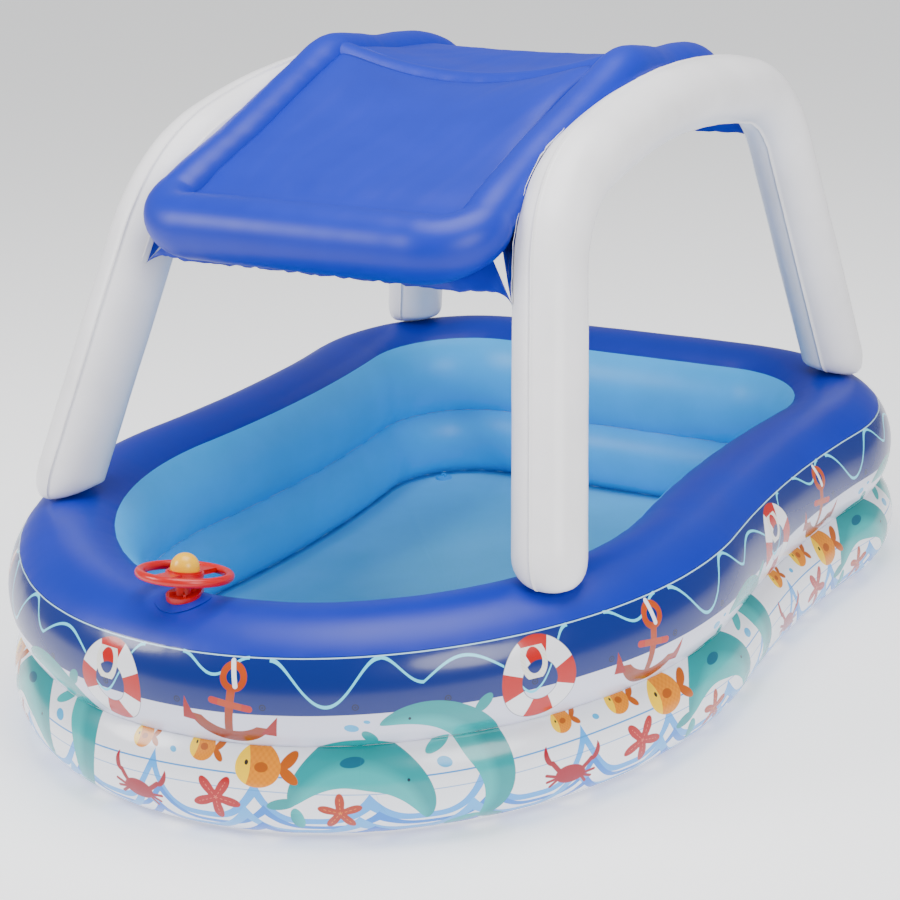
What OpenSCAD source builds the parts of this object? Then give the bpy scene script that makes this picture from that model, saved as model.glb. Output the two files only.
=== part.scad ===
// Boat-shaped inflatable paddling pool: two stacked air rings, a flat floor, two white
// arches that carry an inflated sunshade, and a toy steering wheel on the bow.
// -Y is the bow, +Y the stern, +Z up. Origin: centre of the footprint, on the ground.

/* [Pool] */
// Overall length, bow to stern
pool_l = 2130; // [1900:10:2400]
// Overall width
pool_w = 1550; // [1400:10:1700]
// Height of the pool wall at the crest of the rim
wall_h = 410; // [360:5:460]
// Height of the joint between the lower and the upper ring
joint_h = 190; // [160:5:220]
// Thickness of every vinyl sheet
skin = 0.3; // [0.2:0.05:1]
// Radius of the two stern corners, at the middle of the ring
corner_r = 320; // [280:5:360]
// Radius of the hollow waist between a stern corner and the bow
waist_r = 2700; // [2400:50:3200]
// Radius of the bow, at the middle of the ring
bow_r = 560; // [520:5:600]
// Half angle of the bow arc, measured from across the boat
bow_angle = 54; // [50:1:58]
// How far the lower ring bulges out from the middle of the ring
lower_bulge = 141; // [130:1:150]
// How far the upper ring bulges out from the middle of the ring
upper_bulge = 134; // [125:1:140]
// Height of the floor sheet
floor_h = 25; // [20:1:35]

/* [Arches] */
// Radius of an arch tube
arch_r = 70; // [60:1:76]
// Lean of an arch towards the middle of the boat
arch_tilt = 11; // [8:1:14]
// Distance of a foot outside the middle of the ring
foot_out = 25; // [15:1:30]
// Place of a front foot, as the angle of the ring's side arc
front_foot_angle = -28.4; // [-32:0.1:-25]
// Place of a rear foot, as the angle of the stern corner
rear_foot_angle = 39.8; // [36:0.1:44]
// Slope of the front leg
front_leg_slope = 67.5; // [62:0.5:72]
// Slope where the front bend meets the top
top_rise = 13.5; // [10:0.5:16]
// Slope where the top meets the rear bend
top_fall = 11.5; // [8:0.5:14]
// Slope of the rear leg
rear_leg_slope = 80.5; // [76:0.5:84]
// Bend radius above the front leg
front_bend_r = 300; // [240:5:340]
// Radius of the crowned top
top_r = 1750; // [1600:10:1900]
// Bend radius above the rear leg
rear_bend_r = 175; // [150:5:200]

/* [Sunshade] */
// Radius of the front tube
front_tube_r = 64; // [56:1:68]
// Radius of the side, ridge and rear tubes
side_tube_r = 46; // [38:1:48]
// How far the ridge tube sags in the middle
ridge_sag = 66; // [50:1:90]
// Depth of the loose hem below the front and rear tubes
hem = 25; // [18:1:35]

/* [Steering wheel] */
// Outer diameter of the wheel
wheel_d = 180; // [160:2:200]
// Thickness of the wheel's rim
grip_d = 17; // [14:1:20]
// Width of the band across the wheel
band_w = 62; // [54:1:70]
// Height of the wheel's plane above the rim of the pool
wheel_up = 44; // [40:1:70]
// Lean of the wheel towards the driver
wheel_tilt = 13; // [8:1:18]
// Diameter of the horn button
horn_d = 53; // [46:1:58]
// Height of the horn button's dome
horn_h = 36; // [30:1:42]
// Travel of the horn button
horn_travel = 3; // [2:0.5:4]
// Diameter of the spindle
spindle_d = 10; // [8:1:12]

/* [Valves and drain] */
// Bore of an inflation valve
valve_bore_d = 14; // [10:1:16]
// Wall of an inflation valve's stem
valve_wall = 2; // [1.5:0.5:3]
// Diameter of the drain valve's flange
drain_d = 43; // [38:1:50]
// Bore of the drain valve
drain_bore_d = 22; // [18:1:26]
// Running clearance between a plug or spindle and its bore
slip = 0.05; // [0.03:0.01:0.1]

/* [Hidden] */
CAPS = ["lower", "upper", "shade", "left_arch", "right_arch"];

deep_blue = [0.05, 0.29, 0.84];
navy = [0.04, 0.2, 0.55];
pale_blue = [0.35, 0.72, 1];
toy_red = [0.92, 0.15, 0.15];
toy_yellow = [1, 0.87, 0.08];
clear_vinyl = [0.85, 0.9, 0.95];
gap = 0.3;               // clearance between vinyl pieces that only lie against each other

// ---- General geometry ----
function unit(v) = v / norm(v);
function turn(a) = a - 360 * floor(a / 360);
function across(v, m) = unit(v - (v * m) * m);    // the part of v that is square to m

// Centre of the circle through three points of the plane
function circle_centre(p, q, r) =
    let (d = 2 * (p.x * (q.y - r.y) + q.x * (r.y - p.y) + r.x * (p.y - q.y)))
    [((p * p) * (q.y - r.y) + (q * q) * (r.y - p.y) + (r * r) * (p.y - q.y)) / d,
     ((p * p) * (r.x - q.x) + (q * q) * (p.x - r.x) + (r * r) * (q.x - p.x)) / d];

// k + 1 points on the arc from p through q to r
function arc3(p, q, r, k) =
    let (c = circle_centre(p, q, r),
         rad = norm(p - c),
         a0 = atan2(p.y - c.y, p.x - c.x),
         full = turn(atan2(r.y - c.y, r.x - c.x) - a0),
         mid = turn(atan2(q.y - c.y, q.x - c.x) - a0),
         sweep = mid < full ? full : full - 360)
    [for (i = [0:k]) c + rad * [cos(a0 + sweep * i / k), sin(a0 + sweep * i / k)]];

// A section lists m points: the outside of a skin, then its inside on the way back. Both sides of
// the skin are split along the same diagonal, so that its thickness stays even.
function quad(p, q, r, s, other) = other ? [[s, q, p], [s, r, q]] : [[r, q, p], [s, r, p]];
function side_faces(a, b, m) =
    [for (j = [0:m - 1]) let (k = (j + 1) % m) each quad(a + j, a + k, b + k, b + j, j >= m / 2)];
function cap_faces(a, m, far) =
    [for (j = [0:m / 2 - 2])
        let (f = [a + j, a + m - 1 - j, a + m - 2 - j, a + j + 1])
        each far ? quad(f[3], f[2], f[1], f[0], true) : quad(f[0], f[1], f[2], f[3], true)];
function loop_faces(rows, m) =
    [for (i = [0:rows - 1]) each side_faces(i * m, ((i + 1) % rows) * m, m)];
function open_faces(rows, m) = concat(
    [for (i = [0:rows - 2]) each side_faces(i * m, (i + 1) * m, m)],
    cap_faces(0, m, false),
    cap_faces((rows - 1) * m, m, true));

// A skin swept over sections: each section lists the outside points, then the inside ones back
module sweep_loop(sections) {
    polyhedron([for (s = sections) each s], loop_faces(len(sections), len(sections[0])), 4);
}
module sweep_open(sections) {
    polyhedron([for (s = sections) each s], open_faces(len(sections), len(sections[0])), 4);
}
function back(list) = [for (i = [len(list) - 1:-1:0]) list[i]];

// ---- Plan of the rings: a centreline of tangent arcs, symmetric about the boat ----
half_w = pool_w / 2 - lower_bulge;
half_l = pool_l / 2 - lower_bulge;
corner_c = [half_w - corner_r, half_l - corner_r];
bow_c = [0, bow_r - half_l];
side_r = (half_w - bow_r * cos(bow_angle)) / (1 - cos(bow_angle));
side_c = bow_c + (bow_r - side_r) * [cos(bow_angle), -sin(bow_angle)];
waist_c =
    let (d = norm(side_c - corner_c),
         u = (side_c - corner_c) / d,
         r1 = waist_r + corner_r,
         r2 = waist_r + side_r,
         a = (r1 * r1 - r2 * r2 + d * d) / (2 * d),
         h = sqrt(r1 * r1 - a * a))
    corner_c + a * u + h * [-u.y, u.x];
corner_end = atan2(waist_c.y - corner_c.y, waist_c.x - corner_c.x);
side_start = atan2(waist_c.y - side_c.y, waist_c.x - side_c.x);

// Stations [x, y, direction of the outward normal] along an arc
function arc_stations(c, r, a0, a1, first, k) =
    [for (i = [first:k]) let (a = a0 + (a1 - a0) * i / k) [c.x + r * cos(a), c.y + r * sin(a), a]];
right_side = concat(
    [for (i = [0:3]) [corner_c.x * i / 4, half_l, 90]],
    arc_stations(corner_c, corner_r, 90, corner_end, 0, 8),
    arc_stations(waist_c, -waist_r, corner_end, side_start, 1, 5),
    arc_stations(side_c, side_r, side_start, -bow_angle, 1, 9),
    arc_stations(bow_c, bow_r, -bow_angle, -90, 1, 5));
stations = concat(right_side,
    [for (i = [len(right_side) - 2:-1:1])
        [-right_side[i].x, right_side[i].y, 180 - right_side[i][2]]]);

function at(s, n, z) = [s.x + n * cos(s[2]), s.y + n * sin(s[2]), z];
module ring_skin(outside, inside) {
    profile = concat(outside, back(inside));
    sweep_loop([for (s = stations) [for (p = profile) at(s, p.x, p.y)]]);
}

// ---- Section of the rings, as [distance out from the centreline, height] ----
upper_mid = (wall_h + joint_h) / 2 - 14;
lower_mid = joint_h / 2 + 5;
rim_out = [103, wall_h - 45];          // weld of the rim to the printed outer wall
rim_in = [-87, wall_h - 30];           // weld of the rim to the inner wall
rim_top = [8, wall_h];
joint_out = [100, joint_h];
joint_in = [-100, joint_h];
floor_weld = [-105, floor_h];
base_out = [66, 0];
base_in = [-60, 0];

function towards(p, c) = p + skin * unit(c - p);
function level_in(p, side, up) = [p.x - side * skin, p.y + up * skin / 2];
function inside_arc(points, c, first, last) =
    [for (i = [0:len(points) - 1])
        i == 0 ? first : i == len(points) - 1 ? last : towards(points[i], c)];
upper_c = [0, upper_mid];
lower_c = [0, lower_mid];
on_divider = function (p, up) [p.x, p.y + up * skin / 2];

rim_arc = arc3(rim_out, rim_top, rim_in, 7);
rim_c = circle_centre(rim_out, rim_top, rim_in);
rim_rad = norm(rim_out - rim_c);
upper_out_arc = arc3(on_divider(joint_out, 1), [upper_bulge, upper_mid - 2], rim_out, 6);
upper_in_arc = arc3(rim_in, [-upper_bulge, upper_mid], on_divider(joint_in, 1), 6);
lower_out_arc = arc3(base_out, [lower_bulge, lower_mid], on_divider(joint_out, -1), 7);
lower_in_arc = arc3(on_divider(joint_in, -1), [-lower_bulge, lower_mid + 8], floor_weld, 6);

module rim_panel() {
    color(deep_blue)
        ring_skin(rim_arc,
            inside_arc(rim_arc, rim_c, towards(rim_out, upper_c), towards(rim_in, upper_c)));
}
module upper_outer_skin() {
    ring_skin(upper_out_arc,
        inside_arc(upper_out_arc, circle_centre(upper_out_arc[0], upper_out_arc[3], rim_out),
            level_in(joint_out, 1, 1), towards(rim_out, upper_c)));
}
module upper_outer_panel() {
    color(navy)
        difference() {
            upper_outer_skin();
            upper_valve_place() valve_hole();
        }
}
module upper_inner_panel() {
    color(pale_blue)
        ring_skin(upper_in_arc,
            inside_arc(upper_in_arc, circle_centre(rim_in, upper_in_arc[3], upper_in_arc[6]),
                towards(rim_in, upper_c), level_in(joint_in, -1, 1)));
}
module lower_outer_panel() {
    color("white")
        difference() {
            ring_skin(lower_out_arc,
                inside_arc(lower_out_arc, circle_centre(base_out, lower_out_arc[3], lower_out_arc[7]),
                    towards(base_out, lower_c), level_in(joint_out, 1, -1)));
            lower_valve_place() valve_hole();
        }
}
module lower_inner_panel() {
    color(pale_blue)
        ring_skin(lower_in_arc,
            inside_arc(lower_in_arc, circle_centre(lower_in_arc[0], lower_in_arc[3], floor_weld),
                level_in(joint_in, -1, -1), towards(floor_weld, lower_c)));
}
module base_panel() {
    base_arc = concat(arc3(floor_weld, [-88, 7], base_in, 3), [base_out]);
    color("white")
        ring_skin(base_arc,
            concat([towards(floor_weld, lower_c)],
                [for (i = [1:2]) base_arc[i] + [skin / 2, skin]],
                [base_in + [0, skin], towards(base_out, lower_c)]));
}
module divider_sheet() {
    up = [0, skin / 2];
    color("white")
        ring_skin([joint_out + up, joint_in + up], [joint_out - up, joint_in - up]);
}
module floor_sheet() {
    color(pale_blue)
        difference() {
            translate([0, 0, floor_h - skin])
                linear_extrude(skin)
                    polygon([for (s = stations) let (p = at(s, floor_weld.x, 0)) [p.x, p.y]]);
            drain_place() cylinder(h = 40, d = drain_bore_d + 2 * valve_wall, center = true, $fn = 48);
        }
}

// ---- Drain in the floor, near a stern corner ----
drain_inset = [-130, 110];
module drain_place() {
    translate([-corner_c.x + drain_inset.x, corner_c.y + drain_inset.y, floor_h]) children();
}
drain_depth = 17;
module drain_seat() {
    color(pale_blue)
        drain_place()
            difference() {
                union() {
                    cylinder(h = 2, d = drain_d, $fn = 64);
                    translate([0, 0, -drain_depth])
                        cylinder(h = drain_depth + 1, d = drain_bore_d + 2 * valve_wall, $fn = 48);
                }
                translate([0, 0, -drain_depth - 1])
                    cylinder(h = drain_depth + 4, d = drain_bore_d, $fn = 48);
            }
}
module drain_plug() {
    pull_w = 12;
    color(pale_blue)
        drain_place()
            translate([0, 0, 2]) {
                cylinder(h = 2, d = drain_d - 8, $fn = 64);
                translate([0, 0, -drain_depth + 2])
                    cylinder(h = drain_depth - 1, d = drain_bore_d - 2 * slip, $fn = 48);
                difference() {
                    translate([0, 0, 1 + 5]) cube([pull_w, 2.4, 10], center = true);
                    translate([0, 0, 7]) rotate([90, 0, 0]) cylinder(h = 6, d = 5, center = true, $fn = 24);
                }
            }
}

// ---- Inflation valves: a stem welded in the skin and a cap pushed into it ----
stem_d = valve_bore_d + 2 * valve_wall;
stem_in = 15;
stem_out = 2;
module valve_hole() {
    cylinder(h = 24, d = stem_d, center = true, $fn = 48);
}
module valve_seat() {
    color(clear_vinyl)
        difference() {
            union() {
                translate([0, 0, -stem_in]) cylinder(h = stem_in + stem_out, d = stem_d, $fn = 48);
                translate([0, 0, -6]) cylinder(h = 1, d = stem_d + 10, $fn = 48);
            }
            translate([0, 0, -stem_in - 1])
                cylinder(h = stem_in + stem_out + 2, d = valve_bore_d, $fn = 48);
        }
}
module valve_cap() {
    color(clear_vinyl)
        translate([0, 0, stem_out]) {
            difference() {
                cylinder(h = 2, d = stem_d, $fn = 48);
                translate([0, 0, 1]) cylinder(h = 2, d = stem_d - 5, $fn = 48);
            }
            translate([0, 0, -10]) cylinder(h = 10.5, d = valve_bore_d - 2 * slip, $fn = 48);
        }
}
// The ring valves are on the far side, at the waist, on the fullest line of each ring
waist_mid = right_side[15];
module ring_valve_place(bulge, z) {
    translate([-at(waist_mid, bulge, 0).x, waist_mid.y, z])
        rotate([0, 0, 180 - waist_mid[2]]) rotate([0, 90, 0]) children();
}
module upper_valve_place() { ring_valve_place(upper_bulge - 0.4, upper_mid - 2) children(); }
module lower_valve_place() { ring_valve_place(lower_bulge - 0.4, lower_mid) children(); }

// ---- Arches ----
// Point and normal of the rim's surface at distance n out from the centreline
function rim_height(n) = rim_c.y + sqrt(rim_rad * rim_rad - (n - rim_c.x) * (n - rim_c.x));
function rim_normal(n, a) =
    let (u = unit([n - rim_c.x, rim_height(n) - rim_c.y])) [u.x * cos(a), u.x * sin(a), u.y];
function foot_on(c, r, a) =
    [c.x + (r + foot_out) * cos(a), c.y + (r + foot_out) * sin(a), rim_height(foot_out)];
patch_t = 0.8;
disc_t = 1;
stack = gap + patch_t + gap + disc_t;
front_n = rim_normal(foot_out, front_foot_angle);
rear_n = rim_normal(foot_out, rear_foot_angle);
front_rim = foot_on(side_c, side_r, front_foot_angle);
rear_rim = foot_on(corner_c, corner_r, rear_foot_angle);
front_foot = front_rim + stack * front_n;
rear_foot = rear_rim + stack * rear_n;

// The line of an arch in its own plane: leg, bend, crowned top, bend, leg
function bend(r, h0, h1) = r * [sin(h0) - sin(h1), cos(h1) - cos(h0)];
heads = [front_leg_slope, top_rise, -top_fall, -rear_leg_slope];
radii = [front_bend_r, top_r, rear_bend_r];
foot_gap = [rear_foot.y - front_foot.y, (rear_foot.z - front_foot.z) / cos(arch_tilt)]
    - bend(radii[0], heads[0], heads[1]) - bend(radii[1], heads[1], heads[2])
    - bend(radii[2], heads[2], heads[3]);
leg_det = sin(heads[3] - heads[0]);
front_leg = (foot_gap.x * sin(heads[3]) - foot_gap.y * cos(heads[3])) / leg_det;
rear_leg = (foot_gap.y * cos(heads[0]) - foot_gap.x * sin(heads[0])) / leg_det;
bends = [for (i = [0:2]) radii[i] * (heads[i] - heads[i + 1]) * PI / 180];
corners = [0, front_leg, front_leg + bends[0], front_leg + bends[0] + bends[1],
    front_leg + bends[0] + bends[1] + bends[2]];
arch_len = corners[4] + rear_leg;
starts = [
    [0, 0],
    front_leg * [cos(heads[0]), sin(heads[0])],
    front_leg * [cos(heads[0]), sin(heads[0])] + bend(radii[0], heads[0], heads[1]),
    front_leg * [cos(heads[0]), sin(heads[0])] + bend(radii[0], heads[0], heads[1])
        + bend(radii[1], heads[1], heads[2])];
// [along the boat, up the plane, slope] at length s along the line
function on_bend(i, s) =
    let (h = heads[i] - (s - corners[i + 1]) * 180 / PI / radii[i],
         p = starts[i + 1] + bend(radii[i], heads[i], h))
    [p.x, p.y, h];
function on_rear_leg(s) =
    let (p = starts[3] + bend(radii[2], heads[2], heads[3])
            + (s - corners[4]) * [cos(heads[3]), sin(heads[3])])
    [p.x, p.y, heads[3]];
function on_line(s) =
    s < corners[1] ? [s * cos(heads[0]), s * sin(heads[0]), heads[0]] :
    s < corners[2] ? on_bend(0, s) :
    s < corners[3] ? on_bend(1, s) :
    s < corners[4] ? on_bend(2, s) : on_rear_leg(s);

arch_side = [cos(arch_tilt), 0, sin(arch_tilt)];       // outboard, square to the arch's plane
function arch_dir(h) = [-sin(arch_tilt) * sin(h), cos(h), cos(arch_tilt) * sin(h)];
function arch_out(h) = [-sin(arch_tilt) * cos(h), -sin(h), cos(arch_tilt) * cos(h)];
function arch_mid(l) =
    let (f = l.x / (rear_foot.y - front_foot.y))
    [front_foot.x + f * (rear_foot.x - front_foot.x) - l.y * sin(arch_tilt),
     front_foot.y + l.x, front_foot.z + l.y * cos(arch_tilt)];
function arch_at(s) = arch_mid(on_line(s));

// Rings of an arch: [middle, square direction, radius]; the ends are domed onto the rim
dome = [[0, 0.5], [3, 0.76], [12, 0.9], [26, 0.98], [48, 1]];
dome_len = dome[4][0];
function end_rings(foot, foot_dir, leg_dir) =
    [for (d = dome)
        let (f = d[0] / dome_len)
        [foot + d[0] * leg_dir, unit(foot_dir * (1 - f) + leg_dir * f), arch_r * d[1]]];
leg_steps = 2;
arch_lengths = concat(
    [for (i = [1:leg_steps]) dome_len + (corners[1] - dome_len) * i / leg_steps],
    [for (i = [1:7]) corners[1] + (corners[2] - corners[1]) * i / 7],
    [for (i = [1:6]) corners[2] + (corners[3] - corners[2]) * i / 6],
    [for (i = [1:7]) corners[3] + (corners[4] - corners[3]) * i / 7],
    [for (i = [1:leg_steps - 1])
        corners[4] + (arch_len - dome_len - corners[4]) * i / leg_steps]);
arch_rings = concat(
    end_rings(front_foot, front_n, arch_dir(heads[0])),
    [for (s = arch_lengths)
        let (l = on_line(s)) [arch_mid(l), arch_dir(l[2]), arch_r]],
    back([for (r = end_rings(rear_foot, rear_n, -arch_dir(heads[3]))) [r[0], -r[1], r[2]]]));

// Half of the tube's wall, from the outer weld round to the inner weld
arch_k = 7;
module arch_panel(side) {
    sweep_open([for (r = arch_rings)
        let (e = across(arch_side, r[1]),
             n = cross(e, r[1]),
             half = [for (i = [0:arch_k])
                 let (a = 90 + side * (180 * i / arch_k - 90)) cos(a) * n + side * sin(a) * e])
        concat([for (u = half) r[0] + r[2] * u], back([for (u = half) r[0] + (r[2] - skin) * u]))]);
}
module mirrored(side) { mirror([side < 0 ? 1 : 0, 0, 0]) children(); }
arch_valve_turn = 45;     // the valve sits between the back and the inboard side of the rear leg
arch_valve_s = 230;       // its height up the rear leg
module arch_valve_place() {
    s = arch_len - arch_valve_s;
    h = heads[3];
    out = cos(arch_valve_turn) * arch_out(h) - sin(arch_valve_turn) * arch_side;
    translate(arch_at(s) + (arch_r - 0.9) * out) point_z(out) children();
}
// Turns +Z to direction v
module point_z(v) {
    rotate([0, 0, atan2(v.y, v.x)]) rotate([0, acos(v.z / norm(v)), 0]) children();
}
module right_arch_outboard_panel() { color("white") arch_panel(1); }
module left_arch_outboard_panel() { color("white") mirrored(-1) arch_panel(1); }
module right_arch_inboard_panel() {
    color("white")
        difference() {
            arch_panel(-1);
            arch_valve_place() valve_hole();
        }
}
module left_arch_inboard_panel() {
    color("white")
        mirrored(-1)
            difference() {
                arch_panel(-1);
                arch_valve_place() valve_hole();
            }
}

// Pieces that repeat under the four feet
module at_feet() {
    for (side = [1, -1]) mirrored(side) {
        translate(front_rim) point_z(front_n) children();
        translate(rear_rim) point_z(rear_n) children();
    }
}
module leg_end_discs() {
    color("white")
        at_feet()
            translate([0, 0, stack - disc_t])
                cylinder(h = disc_t, r = arch_r * dome[0][1] * cos(180 / arch_k / 2), $fn = 64);
}
patch_d = 56;
snap_d = 9;
module leg_patches() {
    color(clear_vinyl)
        at_feet()
            translate([0, 0, gap])
                difference() {
                    cylinder(h = patch_t, d = patch_d, $fn = 64);
                    translate([0, 0, -1]) cylinder(h = patch_t + 2, d = snap_d, $fn = 32);
                }
}
module leg_snap_studs() {
    color(clear_vinyl)
        at_feet()
            translate([0, 0, gap]) cylinder(h = stack - disc_t - gap, d = snap_d, $fn = 32);
}

// ---- Sunshade: a tube frame bent over the arches, with two flat sheets and a sagging ridge ----
// Points of a side tube from the crown of the arch beside it, as [along, up, across]
crown = arch_at((corners[2] + corners[3]) / 2);
stretch = (rear_foot.y - front_foot.y) / 1408;
shade_keys = [[-684, -154, -84], [-544, -103, -96], [-394, -53, -111], [-254, -7, -115],
    [-124, 35, -111], [-34, 66, -98], [51, 57, -103], [136, 41, -108], [226, 30, -108],
    [316, 19, -108], [396, -15, -110], [451, -73, -112]];
shade_n = len(shade_keys) - 1;
ridge_key = 5;
front_corner_r = 80;
rear_corner_r = 60;
function key_mid(i) = crown + [shade_keys[i].z, shade_keys[i].x * stretch, shade_keys[i].y];
function key_dir(i) =
    let (d = key_mid(min(i + 1, shade_n)) - key_mid(max(i - 1, 0))) unit([0, d.y, d.z]);
function key_up(i) = let (d = key_dir(i)) [0, -d.z, d.y];
across_x = [1, 0, 0];

// Stations of the frame's closed loop: [middle, outward, up, radius]
function corner_station(end, dir, up, r_corner, a, r) =
    let (o = -cos(a) * dir + sin(a) * across_x,
         c = end + r_corner * dir - r_corner * across_x)
    [c + r_corner * o, o, up, r];
front_mid = key_mid(0);
rear_mid = key_mid(shade_n);
front_dir = key_dir(0);
rear_dir = -key_dir(shade_n);
shade_right = concat(
    [for (x = [0, 0.35, 0.7])
        [[x * (front_mid.x - front_corner_r), front_mid.y, front_mid.z],
            -front_dir, key_up(0), front_tube_r]],
    [for (a = [0:30:90])
        corner_station(front_mid, front_dir, key_up(0), front_corner_r, a,
            front_tube_r + (side_tube_r - front_tube_r) * a / 90)],
    [for (i = [1:shade_n - 1]) [key_mid(i), across_x, key_up(i), side_tube_r]],
    [for (a = [90:-30:0])
        corner_station(rear_mid, rear_dir, key_up(shade_n), rear_corner_r, a, side_tube_r)],
    [for (x = [0.7, 0.35, 0])
        [[x * (rear_mid.x - rear_corner_r), rear_mid.y, rear_mid.z],
            -rear_dir, key_up(shade_n), side_tube_r]]);
function flip(v) = [-v.x, v.y, v.z];
shade_loop = concat(shade_right,
    [for (i = [len(shade_right) - 2:-1:1])
        let (s = shade_right[i]) [flip(s[0]), flip(s[1]), s[2], s[3]]]);
weld_angle = -100;      // the frame's lower weld, under the tube
seam_angle = 150;       // the inner weld, where the flat sheet leaves the tube
function tube_point(s, a, inset) = s[0] + (s[3] - inset) * (cos(a) * s[1] + sin(a) * s[2]);
module shade_skin(angles) {
    sweep_loop([for (s = shade_loop)
        concat(back([for (a = angles) tube_point(s, a, 0)]), [for (a = angles) tube_point(s, a, skin)])]);
}
module shade_tube_top_panel() {
    color(deep_blue)
        difference() {
            shade_skin([weld_angle, -68, -35, 0, 30, 60, 90, 120, seam_angle]);
            shade_valve_place() valve_hole();
        }
}
module shade_tube_under_panel() {
    color(deep_blue) shade_skin([seam_angle - 360, -180, -150, -125, weld_angle]);
}
module shade_valve_place() {
    s = shade_right[len(shade_right) - 1];
    out = unit(s[1] * cos(15) + s[2] * sin(15));
    translate(s[0] + (side_tube_r - 0.6) * out) point_z(out) children();
}

// Flat sheets between the inner welds; columns run across, rows along the boat
cols = 8;
function side_seam(i) = tube_point([key_mid(i), across_x, key_up(i), side_tube_r], seam_angle, -gap);
ridge_base = key_mid(ridge_key);
function ridge_drop(u) = ridge_sag * (1 - u * u);
ridge_seam = 140;       // where the flat sheets leave the ridge tube
function ridge_edge(u, side) =
    [u * side_seam(ridge_key).x, ridge_base.y + side * (side_tube_r * cos(180 - ridge_seam) + gap),
     ridge_base.z - ridge_drop(u) + side_tube_r * sin(ridge_seam)];
// A row of the sheet at key i, sagging more towards the ridge
function sheet_row(i, share) =
    let (p = side_seam(i))
    [for (k = [0:cols]) let (u = -1 + 2 * k / cols) [u * p.x, p.y, p.z - share * ridge_drop(u)]];
function end_row(s, x_end) =
    let (p = tube_point(s, seam_angle, -gap))
    [for (k = [0:cols]) let (u = -1 + 2 * k / cols) [u * x_end, p.y, p.z]];
front_edge = end_row(shade_right[0], side_seam(1).x - 10);
rear_edge = end_row(shade_right[len(shade_right) - 1], side_seam(shade_n - 1).x - 8);
function ridge_row(side) = [for (k = [0:cols]) ridge_edge(-1 + 2 * k / cols, side)];
front_rows = concat([front_edge], [for (i = [1:ridge_key - 1]) sheet_row(i, 0.62 * pow(i / ridge_key, 2))],
    [ridge_row(-1)]);
rear_rows = concat([ridge_row(1)],
    [for (i = [ridge_key + 2:shade_n - 1])
        sheet_row(i, 0.8 * pow((shade_n - i) / (shade_n - ridge_key), 2))],
    [rear_edge]);
// A thin sheet over rows of points
module sheet(rows) {
    sweep_open([for (r = rows) concat(r, back([for (p = r) p - [0, 0, skin]]))]);
}
module shade_front_sheet() { color(deep_blue) sheet(front_rows); }
module shade_rear_sheet() { color(deep_blue) sheet(rear_rows); }

// Ridge tube: each line of its wall runs out to the side tube it meets
ridge_cols = 10;
ridge_gap = 3.5;        // the ridge tube's ends keep this much clear of the curved side tubes
function side_line(y, axis) = lookup(y, [for (i = [0:shade_n]) [key_mid(i).y, key_mid(i)[axis]]]);
function ridge_end(y, z) =
    side_line(y, 0) - sqrt(max(pow(side_tube_r + ridge_gap, 2) - pow(z - side_line(y, 2), 2), 0));
function ridge_point(u, a, r) =
    let (y = ridge_base.y + side_tube_r * cos(a), z = ridge_base.z + side_tube_r * sin(a))
    [u * ridge_end(y, z), ridge_base.y + r * cos(a), ridge_base.z - ridge_drop(u) + r * sin(a)];
module ridge_skin(angles) {
    sweep_open([for (k = [0:ridge_cols])
        let (u = -1 + 2 * k / ridge_cols)
        concat([for (a = angles) ridge_point(u, a, side_tube_r)],
            back([for (a = angles) ridge_point(u, a, side_tube_r - skin)]))]);
}
module ridge_top_panel() {
    color(deep_blue) ridge_skin([for (i = [0:6]) 180 - ridge_seam + i * (2 * ridge_seam - 180) / 6]);
}
module ridge_under_panel() {
    color(deep_blue) ridge_skin([for (i = [0:8]) ridge_seam + i * (540 - 2 * ridge_seam) / 8]);
}

// Loose hems, and the flanges that weld the shade to the arches beside the line where they touch
flange_turn = 25;       // how far round the arch from that line
flange_in = 40;         // how far round the tube from that line
flange_lift = 0.5;
flange_s = [505, arch_len - 560];
flange_share = 0.9;    // part of the rear corner's run that the flange takes; the hem has the rest
function flange_on_arch(f, beside) =
    let (l = on_line(flange_s[0] + f * (flange_s[1] - flange_s[0])),
         d = beside - arch_mid(l),
         a = atan2(-d * arch_side, d * arch_out(l[2])) + flange_turn)
    arch_mid(l) + (arch_r + flange_lift) * (cos(a) * arch_out(l[2]) - sin(a) * arch_side);
function flange_on_tube(s, f) =
    let (d = arch_mid(on_line(flange_s[0] + f * (flange_s[1] - flange_s[0]))) - s[0])
    tube_point(s, atan2(d * s[2], d * s[1]) - flange_in, -gap);
function below_tube(s, a = weld_angle) = tube_point(s, a, -gap);
rear_hem_angle = -70;
last_front = 6;         // index of the last station of the front corner
first_rear = last_front + shade_n;
module strip(top, bottom) {
    sweep_open([for (i = [0:len(top) - 1])
        let (w = skin * unit(cross(top[min(i + 1, len(top) - 1)] - top[max(i - 1, 0)], bottom[i] - top[i])))
        [top[i], bottom[i], bottom[i] + w, top[i] + w]]);
}
function hem_line(top, to) =
    [for (i = [0:len(top) - 1])
        let (f = pow(max(0, i - 3) / (len(top) - 4), 2)) (top[i] - [0, 0, hem]) * (1 - f) + to * f];
function both_sides(half) = concat(back([for (p = half) flip(p)]), [for (i = [1:len(half) - 1]) half[i]]);
front_top = [for (i = [0:last_front]) below_tube(shade_right[i])];
rear_top = [for (i = [len(shade_right) - 1:-1:first_rear]) below_tube(shade_right[i], rear_hem_angle)];
module hem_strip(top, corner) { strip(both_sides(top), both_sides(hem_line(top, corner))); }
module shade_front_hem() {
    color(deep_blue) hem_strip(front_top, flange_on_arch(0, shade_right[last_front][0]));
}
module shade_rear_hem() {
    color(deep_blue) hem_strip(rear_top, flange_on_arch(1, shade_right[first_rear][0]));
}
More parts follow.
